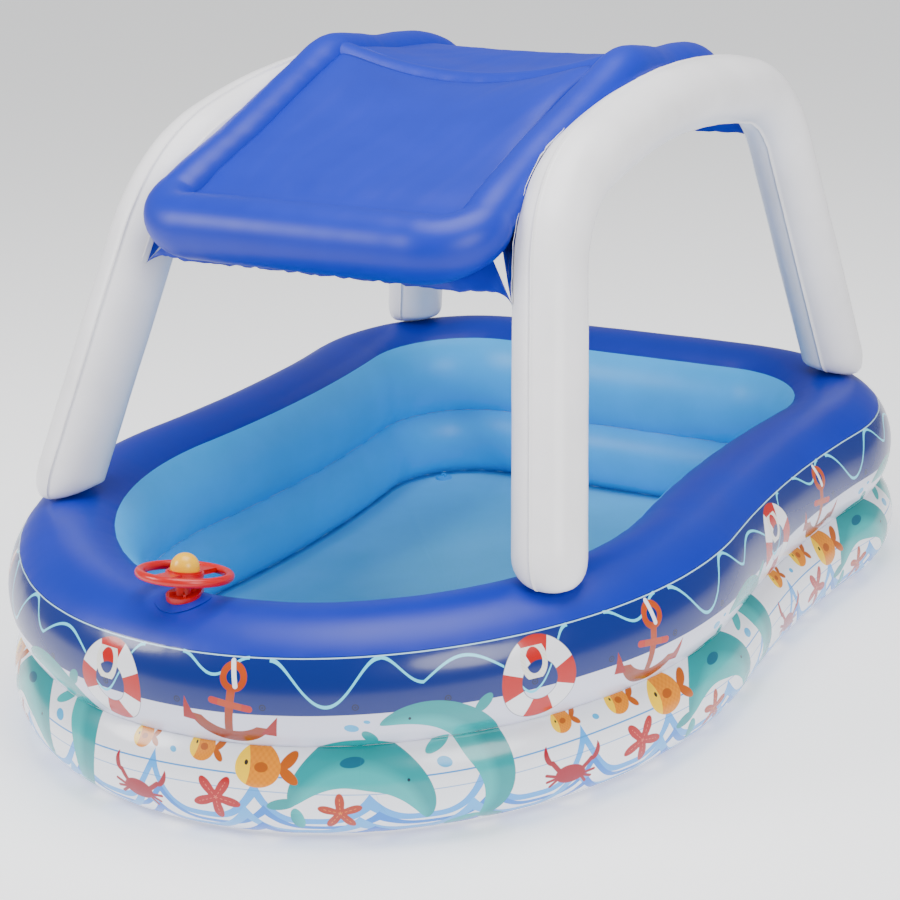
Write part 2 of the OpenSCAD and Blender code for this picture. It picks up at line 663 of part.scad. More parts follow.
// Share of the flange's run along the arch, for a place along the boat
flange_places = [for (j = [0:40])
    [arch_mid(on_line(flange_s[0] + j / 40 * (flange_s[1] - flange_s[0]))).y, j / 40]];
module shade_side_flanges() {
    count = first_rear - last_front;
    share = function (i)
        i == 0 ? 0
        : i == count ? flange_share
        : lookup(shade_right[last_front + i][0].y, flange_places);
    inner = [for (i = [0:count]) flange_on_tube(shade_right[last_front + i], share(i))];
    outer = [for (i = [0:count]) flange_on_arch(share(i), shade_right[last_front + i][0])];
    color(deep_blue) for (side = [1, -1]) mirrored(side) strip(inner, outer);
}

// ---- Steering wheel on the bow ----
wheel_y = -half_l;
base_l = 88;
base_w = 62;
base_t = 9;
nose_w = 56;              // widest part of the base's nose, which points to the stern
patch_lift = 0.7;
module wheel_frame() { translate([0, wheel_y, wall_h]) children(); }
// Axis of the wheel: upright, leaned towards the stern
module wheel_axis() { wheel_frame() rotate([-wheel_tilt, 0, 0]) children(); }
module rim_saddle(lift) {
    translate([0, -rim_c.x, rim_c.y - wall_h])
        rotate([0, 90, 0]) cylinder(h = 300, r = rim_rad + lift, center = true, $fn = 180);
}
module wheel_patch() {
    color(deep_blue)
        wheel_frame()
            intersection() {
                difference() {
                    rim_saddle(patch_lift + 1);
                    rim_saddle(patch_lift);
                }
                translate([0, 0, -20]) cylinder(h = 40, d = base_l + 14, $fn = 64);
            }
}
hub_h = 9;
hub_d = band_w;
hub_floor = 4;
bore_d = spindle_d + 2 * slip;
boss_d = 24;
under_hub = wheel_up - hub_h / 2;      // underside of the hub, along the wheel's axis
running = 0.3;                         // gap between the hub and the post it turns on
spindle_in = 24;                       // depth of the spindle in the post
module wheel_base() {
    saddle = patch_lift + 1 + gap;
    color(toy_red) {
        difference() {
            union() {
                wheel_frame() {
                    translate([0, 0, -8]) cylinder(h = base_t + 8, d = base_w, $fn = 72);
                    translate([0, 0, -8]) linear_extrude(base_t + 5)
                        polygon([[-nose_w / 2, 14], [nose_w / 2, 14], [4, base_l - base_w / 2],
                            [-4, base_l - base_w / 2]]);
                }
                wheel_axis() cylinder(h = under_hub - running, d1 = 34, d2 = boss_d, $fn = 48);
                for (a = [45:90:315])
                    wheel_frame() rotate([0, 0, a]) translate([12, -2, 0]) cube([13, 4, 15]);
            }
            wheel_frame() rim_saddle(saddle);
            wheel_axis() translate([0, 0, under_hub - spindle_in]) cylinder(h = 60, d = spindle_d, $fn = 48);
        }
    }
}
module wheel_spindle() {
    color("silver")
        wheel_axis()
            translate([0, 0, under_hub - spindle_in])
                cylinder(h = spindle_in + hub_floor + running, d = spindle_d, $fn = 48);
}
module spindle_washer() {
    color("silver")
        wheel_axis()
            translate([0, 0, under_hub + hub_floor + running])
                difference() {
                    cylinder(h = 1, d = 17, $fn = 48);
                    translate([0, 0, -1]) cylinder(h = 3, d = 4, $fn = 32);
                }
}
module spindle_screw() {
    color("silver")
        wheel_axis()
            translate([0, 0, under_hub + hub_floor + running + 1])
                difference() {
                    union() {
                        cylinder(h = 2.5, d = 8, $fn = 32);
                        translate([0, 0, -1]) cylinder(h = 1.5, d = 4, $fn = 32);
                    }
                    translate([0, 0, 2]) cube([9, 1.2, 2], center = true);
                }
}
horn_cavity_d = horn_d + 1;
module steering_wheel() {
    mean_r = (wheel_d - grip_d) / 2;
    color(toy_red)
        wheel_axis()
            translate([0, 0, wheel_up])
                difference() {
                    union() {
                        rotate_extrude($fn = 120) translate([mean_r, 0]) circle(d = grip_d, $fn = 32);
                        intersection() {
                            cylinder(h = hub_h, r = mean_r, center = true, $fn = 120);
                            union() {
                                cube([band_w * 0.55, wheel_d, hub_h], center = true);
                                cylinder(h = hub_h, d = hub_d + 8, center = true, $fn = 72);
                            }
                        }
                        translate([0, 0, -hub_h / 2]) cylinder(h = hub_h + 3, d = hub_d, $fn = 72);
                    }
                    translate([0, 0, -hub_h / 2 + hub_floor]) cylinder(h = 30, d = horn_cavity_d, $fn = 72);
                    translate([0, 0, -20]) cylinder(h = 30, d = bore_d, $fn = 48);
                }
}
// Pressed dome over the hub: it slides down into the hub's cup
module horn_button() {
    wall = 1.6;
    r = horn_d / 2;
    skirt = horn_h - r;            // straight part below the half ball
    color(toy_yellow)
        wheel_axis()
            translate([0, 0, under_hub + hub_floor + gap + horn_travel])
                rotate_extrude($fn = 96)
                    polygon(concat([[r, 0]], dome_arc(r, skirt), back(dome_arc(r - wall, skirt)),
                        [[r - wall, 0]]));
}
function dome_arc(r, z) = [for (a = [0:5:90]) [r * cos(a), z + r * sin(a)]];
module horn_squeaker() {
    color("white")
        wheel_axis()
            translate([0, 0, under_hub + hub_floor])
                difference() {
                    cylinder(h = 16, d = 36, $fn = 48);
                    translate([0, 0, -1]) cylinder(h = 13, d = 22, $fn = 48);
                }
}

// ---- Valve seats and caps ----
module lower_valve_seat() { lower_valve_place() valve_seat(); }
module upper_valve_seat() { upper_valve_place() valve_seat(); }
module shade_valve_seat() { shade_valve_place() valve_seat(); }
module right_arch_valve_seat() { arch_valve_place() valve_seat(); }
module left_arch_valve_seat() { mirrored(-1) arch_valve_place() valve_seat(); }
module lower_valve_cap() { lower_valve_place() valve_cap(); }
module upper_valve_cap() { upper_valve_place() valve_cap(); }
module shade_valve_cap() { shade_valve_place() valve_cap(); }
module right_arch_valve_cap() { arch_valve_place() valve_cap(); }
module left_arch_valve_cap() { mirrored(-1) arch_valve_place() valve_cap(); }

floor_sheet();
base_panel();
lower_outer_panel();
lower_inner_panel();
divider_sheet();
upper_outer_panel();
upper_inner_panel();
rim_panel();
drain_seat();
drain_plug();
right_arch_outboard_panel();
right_arch_inboard_panel();
left_arch_outboard_panel();
left_arch_inboard_panel();
leg_end_discs();
leg_patches();
leg_snap_studs();
shade_tube_top_panel();
shade_tube_under_panel();
shade_front_sheet();
shade_rear_sheet();
ridge_top_panel();
ridge_under_panel();
shade_front_hem();
shade_rear_hem();
shade_side_flanges();
wheel_patch();
wheel_base();
wheel_spindle();
spindle_washer();
spindle_screw();
steering_wheel();
horn_button();
horn_squeaker();
lower_valve_seat();
upper_valve_seat();
shade_valve_seat();
left_arch_valve_seat();
right_arch_valve_seat();
lower_valve_cap();
upper_valve_cap();
shade_valve_cap();
left_arch_valve_cap();
right_arch_valve_cap();
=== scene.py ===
"""Looks of the boat-shaped inflatable pool: smooth inflated chambers, printed walls, sunshade, toy wheel."""
import math

import bpy
import numpy as np
from mathutils import Matrix, Vector


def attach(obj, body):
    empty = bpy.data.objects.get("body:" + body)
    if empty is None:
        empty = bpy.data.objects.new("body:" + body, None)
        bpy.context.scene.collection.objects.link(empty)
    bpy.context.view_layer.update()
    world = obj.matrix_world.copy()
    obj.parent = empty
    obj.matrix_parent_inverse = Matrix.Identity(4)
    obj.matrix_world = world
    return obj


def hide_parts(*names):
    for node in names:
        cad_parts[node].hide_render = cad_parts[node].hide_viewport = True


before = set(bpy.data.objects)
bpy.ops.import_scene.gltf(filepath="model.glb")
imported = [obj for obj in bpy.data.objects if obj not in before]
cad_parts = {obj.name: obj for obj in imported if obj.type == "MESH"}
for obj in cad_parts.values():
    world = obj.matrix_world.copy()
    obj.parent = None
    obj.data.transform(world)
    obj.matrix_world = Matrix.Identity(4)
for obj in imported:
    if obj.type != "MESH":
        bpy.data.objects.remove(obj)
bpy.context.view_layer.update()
HULL = "hull"
bpy.ops.object.select_all(action="DESELECT")


# ---------------------------------------------------------------- camera, lights and floor
def make_camera():
    camera_data = bpy.data.cameras.new("studio_camera")
    camera_data.lens = 83.71
    camera_data.sensor_width = 36.0
    camera = bpy.data.objects.new("studio_camera", camera_data)
    bpy.context.scene.collection.objects.link(camera)
    forward = Vector((-0.49164, 0.80607, -0.32945)).normalized()
    up = Vector((-0.1337, 0.30397, 0.94325)).normalized()
    right = forward.cross(up).normalized()
    up = right.cross(forward)
    turn = Matrix((right, up, -forward)).transposed().to_4x4()
    camera.matrix_world = Matrix.Translation((2.2381, -3.6462, 1.8871)) @ turn
    bpy.context.scene.camera = camera


def soft_light(name, place, aim, size, power, tint=(1, 1, 1)):
    lamp = bpy.data.lights.new(name, "AREA")
    lamp.shape, lamp.size, lamp.energy, lamp.color = "DISK", size, power, tint
    holder = bpy.data.objects.new(name, lamp)
    bpy.context.scene.collection.objects.link(holder)
    holder.location = place
    holder.rotation_mode = "QUATERNION"
    holder.rotation_quaternion = (Vector(aim) - Vector(place)).to_track_quat("-Z", "Y")


make_camera()


# ---------------------------------------------------------------- shader arithmetic
class Wire:
    """One output of a shader node, with arithmetic that adds the nodes it needs."""

    def __init__(self, tree, socket):
        self.tree, self.socket = tree, socket

    def node(self, kind, settings=None, sockets=None, output=0):
        made = self.tree.nodes.new(kind)
        for name, value in (settings or {}).items():
            if name == "stops":
                ramp = made.color_ramp
                while len(ramp.elements) < len(value):
                    ramp.elements.new(0.5)
                for element, (place, colour) in zip(ramp.elements, value):
                    element.position, element.color = place, (*colour, 1)
            else:
                setattr(made, name, value)
        for name, value in (sockets or {}).items():
            if isinstance(value, Wire):
                self.tree.links.new(value.socket, made.inputs[name])
            else:
                made.inputs[name].default_value = value
        return Wire(self.tree, made.outputs[output])

    def math(self, operation, *values):
        return self.node("ShaderNodeMath", {"operation": operation}, dict(enumerate(values)))

    def __add__(self, other): return self.math("ADD", self, other)
    def __radd__(self, other): return self.math("ADD", other, self)
    def __sub__(self, other): return self.math("SUBTRACT", self, other)
    def __rsub__(self, other): return self.math("SUBTRACT", other, self)
    def __mul__(self, other): return self.math("MULTIPLY", self, other)
    def __rmul__(self, other): return self.math("MULTIPLY", other, self)
    def __truediv__(self, other): return self.math("DIVIDE", self, other)
    def __rtruediv__(self, other): return self.math("DIVIDE", other, self)
    def __pow__(self, other): return self.math("POWER", self, other)
    def __neg__(self): return self.math("MULTIPLY", self, -1.0)
    def __abs__(self): return self.math("ABSOLUTE", self)
    def __gt__(self, other): return self.math("GREATER_THAN", self, other)
    def __lt__(self, other): return self.math("LESS_THAN", self, other)
    def low(self, other): return self.math("MINIMUM", self, other)
    def high(self, other): return self.math("MAXIMUM", self, other)
    def sin(self): return self.math("SINE", self)
    def cos(self): return self.math("COSINE", self)
    def near(self, other): return self.math("ARCTAN2", self, other)
    def wrap(self, low, high): return self.math("WRAP", self, high, low)
    def within(self, low, high): return (self > low) * (self < high)


def reach(x, y):
    """Length of (x, y)."""
    return (x * x + y * y) ** 0.5


def inside(distance, soft=0.8):
    """1 where distance is below 0, over a soft edge."""
    return distance.node("ShaderNodeMath", {"operation": "MULTIPLY_ADD", "use_clamp": True},
                         {0: distance, 1: -1 / soft, 2: 0.5})


def turned(x, y, degrees):
    c, s = math.cos(math.radians(degrees)), math.sin(math.radians(degrees))
    return x * c + y * s, y * c - x * s


def oval(x, y, cx, cy, rx, ry, degrees=0.0):
    px, py = turned(x - cx, y - cy, degrees)
    return (reach(px / rx, py / ry) - 1) * min(rx, ry)


def stick(x, y, x0, y0, x1, y1, half):
    """Distance to a bar with round ends."""
    long = math.hypot(x1 - x0, y1 - y0)
    px, py = turned(x - (x0 + x1) / 2, y - (y0 + y1) / 2, math.degrees(math.atan2(y1 - y0, x1 - x0)))
    return reach((abs(px) - long / 2).high(0.0), py) - half


def paint(under, colour, mask):
    return mask.node("ShaderNodeMix", {"data_type": "RGBA"}, {"Factor": mask, 6: under, 7: colour}, 2)


def rgb(red, green, blue):
    """A colour given in 0-255 display values, as linear light."""
    def linear(v):
        v /= 255
        return v / 12.92 if v <= 0.04045 else ((v + 0.055) / 1.055) ** 2.4
    return (linear(red), linear(green), linear(blue), 1)


def new_material(name):
    material = bpy.data.materials.new(name)
    material.use_nodes = True
    tree = material.node_tree
    shader = tree.nodes["Principled BSDF"]
    return material, tree, shader


def place_of(tree, kind="Object"):
    coordinates = tree.nodes.new("ShaderNodeTexCoord")
    return Wire(tree, coordinates.outputs[kind])


def finish_vinyl(tree, shader, colour, rough=0.26, coat=0.25, wrinkle=0.35, ripple=60.0):
    """Soft glossy sheet: faint clouding, fine orange peel and shallow wrinkles."""
    place = place_of(tree)
    cloud = place.node("ShaderNodeTexNoise", None, {"Vector": place, "Scale": 7.0, "Detail": 3.0})
    peel = place.node("ShaderNodeTexNoise", None, {"Vector": place, "Scale": 420.0, "Detail": 2.0})
    folds = place.node("ShaderNodeTexNoise", None,
                       {"Vector": place, "Scale": ripple, "Detail": 4.0, "Distortion": 0.4})
    if isinstance(colour, Wire):
        base = colour
    else:
        deeper = tuple(c * 0.86 for c in colour[:3]) + (1,)
        base = paint(deeper, colour, cloud * 1.6 - 0.3)
    tree.links.new(base.socket, shader.inputs["Base Color"])
    tree.links.new((rough - 0.05 + cloud * 0.1).socket, shader.inputs["Roughness"])
    height = folds * wrinkle + peel * 0.03
    bump = place.node("ShaderNodeBump", None, {"Strength": 0.22, "Distance": 0.0012, "Height": height})
    tree.links.new(bump.socket, shader.inputs["Normal"])
    shader.inputs["Coat Weight"].default_value = coat
    shader.inputs["Coat Roughness"].default_value = 0.12
    shader.inputs["IOR"].default_value = 1.42


def vinyl(name, colour, **kind):
    material, tree, shader = new_material(name)
    finish_vinyl(tree, shader, rgb(*colour), **kind)
    return material


def moulded(name, colour, rough=0.3, coat=0.2):
    """Injection-moulded plastic: fine grain, faint flow clouding."""
    material, tree, shader = new_material(name)
    place = place_of(tree)
    cloud = place.node("ShaderNodeTexNoise", None, {"Vector": place, "Scale": 30.0, "Detail": 2.0})
    grain = place.node("ShaderNodeTexNoise", None, {"Vector": place, "Scale": 900.0, "Detail": 2.0})
    deeper = tuple(c * 0.88 for c in rgb(*colour)[:3]) + (1,)
    tree.links.new(paint(deeper, rgb(*colour), cloud * 1.5 - 0.25).socket, shader.inputs["Base Color"])
    tree.links.new((rough - 0.04 + cloud * 0.08).socket, shader.inputs["Roughness"])
    bump = place.node("ShaderNodeBump", None, {"Strength": 0.15, "Distance": 0.0003, "Height": grain})
    tree.links.new(bump.socket, shader.inputs["Normal"])
    shader.inputs["Coat Weight"].default_value = coat
    return material


def plated_steel(name):
    material, tree, shader = new_material(name)
    place = place_of(tree)
    brushed = place.node("ShaderNodeTexNoise", None, {"Vector": place, "Scale": 600.0, "Detail": 3.0})
    tree.links.new(paint(rgb(150, 152, 158), rgb(196, 198, 204), brushed).socket, shader.inputs["Base Color"])
    tree.links.new((0.22 + brushed * 0.2).socket, shader.inputs["Roughness"])
    shader.inputs["Metallic"].default_value = 1.0
    return material


def clear_sheet(name):
    material, tree, shader = new_material(name)
    finish_vinyl(tree, shader, rgb(222, 232, 240), rough=0.15, coat=0.5, wrinkle=0.2)
    shader.inputs["Alpha"].default_value = 0.62
    material.surface_render_method = "BLENDED"
    return material


# ---------------------------------------------------------------- printed walls
REPEAT = 800.0            # length of one repeat of the print, mm
FIRST = 2347.0            # place of a life ring along the wall, mm
TEAL, TEAL_DEEP, TEAL_PALE = rgb(0, 140, 144), rgb(0, 92, 118), rgb(60, 190, 190)


class Wall:
    """Coordinates on the printed wall: along the wall in one repeat, and height, in mm."""

    def __init__(self, tree):
        uv = tree.nodes.new("ShaderNodeUVMap")
        uv.uv_map = "wall"
        split = tree.nodes.new("ShaderNodeSeparateXYZ")
        tree.links.new(uv.outputs[0], split.inputs[0])
        self.along = FIRST - Wire(tree, split.outputs[0]) * 1000.0
        self.up = Wire(tree, split.outputs[1]) * 1000.0

    def at(self, x):
        return (self.along - x).wrap(-REPEAT / 2, REPEAT / 2)


def life_ring(wall, colour):
    x, y = wall.at(0), wall.up - 281
    ring = reach(x / 73, y / 79)
    body = inside((abs(ring - 0.735) - 0.262) * 73)
    angle = y.near(x) + 0.35
    stripe = inside(-(angle * 4).sin() * 40, 2.0)
    colour = paint(colour, paint(rgb(232, 232, 238), rgb(180, 4, 2), stripe), body)
    edge = inside(abs(abs(ring - 0.735) - 0.262) * 73 - 0.7)
    colour = paint(colour, rgb(40, 50, 80), edge * 0.7)
    knot = inside(abs(oval(x, y, -8, 38, 21, 30)) - 5.0) * (y < 62) * (y > 6)
    twist = ((x + y) * 0.9).sin() * 0.12
    return paint(colour, paint(rgb(238, 236, 228), rgb(196, 192, 184), twist + 0.3), knot)


def anchor(wall, colour):
    x, y = wall.at(238), wall.up - 199
    x, y = turned(x, y, -8.7)
    shank = stick(x, y, 0, 12, 0, 112, 7.5)
    outer, inner = reach(x, y - 84) - 82, 74 - reach(x, y - 104)
    arms = outer.high(inner).high(y - 50)
    hoop = abs(reach(x, y - 134) - 19) - 6.0
    fade = paint(rgb(120, 34, 0), rgb(180, 66, 10), y / 140)
    colour = paint(colour, fade, inside(shank.low(arms).low(hoop)))
    bar = stick(x, y, -33, 86, 35, 84, 6.5)
    colour = paint(colour, paint(rgb(176, 58, 8), rgb(180, 24, 10), inside(22 - abs(x))), inside(bar))
    side = abs(x)
    barb = (side - 86).high(34 - y).high(58 - side).high(y - 34 - (side - 58) * 1.6)
    colour = paint(colour, rgb(150, 0, 4), inside(barb))
    tie = stick(x, y, -6, 158, 6, 120, 4.5)
    return paint(colour, rgb(236, 236, 242), inside(tie))


def fish(wall, colour, where, up, size, tilt=0.0):
    x, y = turned(wall.at(where), wall.up - up, tilt)
    x, y = x / size, y / size
    tail = oval(x, y, 36, 7, 13, 6, 38).low(oval(x, y, 36, -8, 13, 6, -38))
    colour = paint(colour, rgb(178, 84, 8), inside(tail * size))
    body = oval(x, y, 0, 0, 27, 22)
    scales = ((x * 0.9).sin() * (y * 0.9).sin()) * 0.25 + 0.25
    flesh = paint(rgb(226, 138, 10), rgb(198, 100, 6), scales)
    flesh = paint(flesh, rgb(250, 202, 8), inside((x + 9 + y * y * 0.012) * size))
    flesh = paint(flesh, rgb(168, 82, 10), inside(oval(x, y, 4, 0, 8, 5) * size))
    flesh = paint(flesh, rgb(44, 36, 34), inside(oval(x, y, -14, 4, 2.2, 2.6) * size, 0.5))
    return paint(colour, flesh, inside(body * size))


def starfish(wall, colour, where, up, size, tint, dots, turn):
    x, y = wall.at(where), wall.up - up
    angle, far = y.near(x) + math.radians(turn), reach(x, y)
    arms = far - size * (0.70 + 0.36 * (angle * 5).cos())
    colour = paint(colour, tint, inside(arms, 1.5))
    ribs = inside(abs((angle * 2.5).sin()) * far - 1.8) * ((far * 0.75).sin() > -0.2) * (far < size * 0.8)
    return paint(colour, dots, ribs * 0.7 * inside(arms + 3))


def crab(wall, colour):
    x, y = wall.at(52), wall.up - 84
    x, y = turned(x / 1.3, y / 1.3, -8)
    body = oval(x, y, 0, 0, 24, 15)
    for side in (-1, 1):
        body = body.low(stick(x, y, side * 18, 6, side * 31, 20, 3.6))
        claw = oval(x, y, side * 33, 31, 11, 15, side * -14)
        body = body.low(claw.high(5 - oval(x, y, side * 31, 42, 3.5, 10, side * -14)))
        for reach_out, drop in ((38, 2), (35, -9), (29, -17)):
            body = body.low(stick(x, y, side * 16, -3, side * reach_out, drop, 2.4))
    return paint(colour, rgb(150, 0, 30), inside(body))


def dolphin_arc(x, y, start, end, wide, outer, sink):
    """A curved body on an arc: start and end angles in degrees, half width, ends' radius, belly sink."""
    angle = y.near(x) * (180 / math.pi)
    share = ((angle - start) / (end - start)).high(0.0).low(1.0)
    bow = (share * math.pi).sin()
    middle = outer[0] + (outer[1] - outer[0]) * share - bow * sink
    half = wide * (4 * share * (1 - share)).high(0.0) ** 0.6
    inward = middle - reach(x, y)
    return abs(inward) - half, inward / wide


def diving_dolphin(wall, colour):
    x, y = wall.at(470), wall.up - 76
    body, inward = dolphin_arc(x, y, -12, 172, 43, (116, 122), 30)
    body = body.low(oval(x, y, -138, 20, 27, 11, 12)).low(oval(x, y, -112, -12, 12, 25, 8))
    body = body.low(oval(x, y, 22, 137, 10, 20, 38))
    skin = paint(TEAL, TEAL_PALE, inside((inward - 0.05) * -60, 30) * 0.55)
    skin = paint(skin, TEAL_DEEP, inside(oval(x, y, -12, 92, 22, 8, 4)))
    skin = paint(skin, rgb(24, 40, 60), inside(oval(x, y, 84, 58, 2.6, 3.0), 0.5))
    return paint(colour, skin, inside(body))


def leaping_dolphin(wall, colour):
    x, y = wall.at(620), wall.up - 138
    body, inward = dolphin_arc(x, y, 137, -62, 39, (150, 126), 54)
    body = body.low(oval(x, y, 30, -108, 34, 10, 14)).low(oval(x, y, 84, -110, 26, 9, -12))
    body = body.low(oval(x, y, 74, 122, 11, 22, -40)).low(oval(x, y, -8, 46, 26, 9, 24))
    skin = paint(TEAL, TEAL_PALE, inside((inward - 0.1) * -60, 30) * 0.5)
    skin = paint(skin, rgb(24, 40, 60), inside(oval(x, y, -58, 112, 2.6, 3.0), 0.5))
    return paint(colour, skin, inside(body))


def rope(wall, colour):
    x, y = wall.at(400) + 400, wall.up
    deep = 2 * math.pi
    loops = [(154, 285, 347.5 + 14.5 * ((x - 154) * (deep / 131)).cos(), 1.15),
             (322, 518, 321.5 + 38.5 * ((x - 322) * (deep / 196)).cos(), 1.55),
             (518, 590, 338.0 + 22.0 * ((x - 518) * (math.pi / 72)).cos(), 1.3),
             (590, 735, 316.0 + 33.0 * ((x - 590) * (math.pi / 150)).sin(), 1.15)]
    for low, high, line, thick in loops:
        colour = paint(colour, rgb(92, 214, 244), inside(abs(y - line) - 2.1 * thick) * x.within(low, high))
    x = wall.at(0)
    rise = 311.5 - 49.5 * ((x + 15).high(0.0) * (math.pi / 85)).cos()
    back = (x + 15).low(0.0)
    rise = rise + back * back / 26
    return paint(colour, rgb(92, 214, 244), inside(abs(y - rise) - 2.8) * x.within(-46, 72))


def waves(wall, colour):
    x, y = wall.at(400) + 400, wall.up
    for base, tall, shift, thick, tint in (
            (58, 92, 85, 9.0, (70, 160, 236)), (40, 62, 100, 6.0, (30, 124, 218)),
            (24, 66, 66, 8.5, (84, 170, 238)), (8, 46, 92, 6.5, (24, 112, 214))):
        crest = (1 - abs(((x - shift) * (math.pi / 200)).sin())) ** 1.7
        line = base + tall * crest * (0.72 + 0.28 * ((x - 85) * (math.pi / 400)).cos())
        colour = paint(colour, rgb(*tint), inside(abs(y - line) - thick * (0.8 + crest)))
    thin = 143 + 5 * (x * (2 * math.pi / REPEAT)).sin()
    colour = paint(colour, rgb(50, 140, 214), inside(abs(y - thin) - 1.4))
    return paint(colour, rgb(50, 140, 214), inside(abs(y - thin + 26) - 0.9) * 0.8)


def drops(wall, colour, places):
    for where, up, size in places:
        x, y = wall.at(where), wall.up - up
        colour = paint(colour, rgb(60, 166, 220), inside(oval(x, y, 0, 0, size, size * 0.62, -14)))
    return colour


def upper_print():
    material, tree, shader = new_material("printed_upper_wall")
    wall = Wall(tree)
    colour = paint(rgb(214, 216, 236), rgb(0, 30, 112), inside(266.5 - wall.up))
    # Painted shade: a darker band just above the joint with the lower ring, standing in for the shade in the
    # crease between the two rings.
    colour = paint(colour, rgb(196, 196, 222), inside(abs(wall.up - 194) - 3) * 0.6)
    rivet = reach((wall.along + 10).wrap(-80.0, 80.0), wall.up - 281)
    colour = paint(colour, rgb(14, 22, 52), inside(abs(rivet - 5) - 1.2) * 0.9)
    colour = paint(colour, rgb(14, 22, 52), inside(rivet - 2.2) * 0.8)
    colour = rope(wall, colour)
    colour = life_ring(wall, colour)
    colour = anchor(wall, colour)
    colour = diving_dolphin(wall, colour)
    colour = leaping_dolphin(wall, colour)
    colour = drops(wall, colour, ((461, 238, 13), (488, 250, 6)))
    colour = paint(colour, rgb(170, 214, 240), inside(abs(wall.up - 362.5) - 0.9))
    finish_vinyl(tree, shader, colour, rough=0.24, coat=0.3)
    return material


def lower_print():
    material, tree, shader = new_material("printed_lower_wall")
    wall = Wall(tree)
    colour = waves(wall, paint(rgb(236, 238, 246), rgb(244, 246, 252), inside(wall.up - 100, 120)))
    colour = diving_dolphin(wall, colour)
    colour = leaping_dolphin(wall, colour)
    colour = fish(wall, colour, 51, 178, 0.78, 6)
    colour = fish(wall, colour, 179, 181, 0.95, -3)
    colour = fish(wall, colour, 290, 160, 1.55)
    colour = crab(wall, colour)
    colour = starfish(wall, colour, 213, 100, 44, rgb(168, 14, 20), rgb(226, 110, 90), 14)
    colour = starfish(wall, colour, 433, 78, 38, rgb(168, 44, 2), rgb(236, 136, 24), -18)
    colour = drops(wall, colour, ((620, 156, 14), (122, 170, 7)))
    colour = paint(colour, rgb(0, 70, 170), inside(abs(wall.up - 6) - 3.5) * 0.8)
    finish_vinyl(tree, shader, colour, rough=0.24, coat=0.3)
    return material


rim_blue = vinyl("deep_blue_vinyl", (0, 32, 164), rough=0.42, coat=0.0, wrinkle=0.3, ripple=26.0)
shade_blue = vinyl("sunshade_blue_vinyl", (0, 34, 172), rough=0.44, coat=0.0, wrinkle=0.6, ripple=9.0)
basin_blue = vinyl("pale_blue_vinyl", (44, 184, 255), rough=0.42, coat=0.0, wrinkle=0.4, ripple=22.0)
floor_blue = vinyl("floor_blue_vinyl", (104, 212, 255), rough=0.42, coat=0.0, wrinkle=0.9, ripple=14.0)
arch_white = vinyl("white_vinyl", (246, 244, 246), rough=0.36, coat=0.1, wrinkle=0.4, ripple=30.0)
base_white = vinyl("base_white_vinyl", (226, 228, 234), rough=0.4, coat=0.0)
clear = clear_sheet("clear_vinyl_sheet")
toy_red = moulded("red_plastic", (196, 0, 0), coat=0.0)
toy_yellow = moulded("yellow_plastic", (255, 190, 0), coat=0.0)
squeaker_grey = moulded("grey_plastic", (150, 150, 152), rough=0.5, coat=0.0)
steel = plated_steel("plated_steel")
print_up, print_down = upper_print(), lower_print()


# ---------------------------------------------------------------- mesh building
def ruffle(t, seed, waves_=((7.0, 1.0), (13.7, 0.6), (23.1, 0.4), (41.3, 0.25))):
    """Steady, unrepeating undulation along a length t, between about -1 and 1."""
    return sum(a * np.sin(f * t + seed * (1.7 + i)) for i, (f, a) in enumerate(waves_)) / 2.0


def build(name, points, faces, materials, kinds=None, uvs=None):
    mesh = bpy.data.meshes.new(name)
    mesh.from_pydata([tuple(p) for p in points], [], faces)
    for m in materials:
        mesh.materials.append(m)
    if kinds is not None:
        mesh.polygons.foreach_set("material_index", np.asarray(kinds, np.int32))
    if uvs is not None:
        layer = mesh.uv_layers.new(name="wall")
        layer.data.foreach_set("uv", np.asarray(uvs, np.float32).ravel())
    mesh.polygons.foreach_set("use_smooth", np.ones(len(mesh.polygons), bool))
    mesh.validate()
    mesh.update()
    piece = bpy.data.objects.new(name, mesh)
    bpy.context.scene.collection.objects.link(piece)
    return piece


def closed_tube(name, rows, materials, kind_of=None, along=None, heights=None, loop=True, flip=False):
    """A tube over closed sections, rows[i][j]; a loop, or with its two ends drawn together to a point."""
    rows = np.asarray(rows, float)
    n, m, _ = rows.shape
    points, faces, kinds, uvs = rows.reshape(-1, 3), [], [], []
    for i in range(n if loop else n - 1):
        k = (i + 1) % n
        for j in range(m):
            q = (j + 1) % m
            ring = [i * m + j, i * m + q, k * m + q, k * m + j]
            spots = [(i, j), (i, j + 1), (i + 1, j + 1), (i + 1, j)]
            if flip:
                ring, spots = ring[::-1], spots[::-1]
            faces.append(ring)
            kinds.append(kind_of[j] if kind_of else 0)
            if along is not None:
                uvs += [(along[a], heights[b]) for a, b in spots]
    if not loop:
        first, last = len(points), len(points) + 1
        points = np.vstack([points, rows[0].mean(0), rows[-1].mean(0)])
        for j in range(m):
            q = (j + 1) % m
            a, b = [first, q, j], [last, (n - 1) * m + j, (n - 1) * m + q]
            faces += [a[::-1], b[::-1]] if flip else [a, b]
            kinds += [0, 0]
    return build(name, points, faces, materials, kinds if kind_of else None,
                 uvs if along is not None else None)


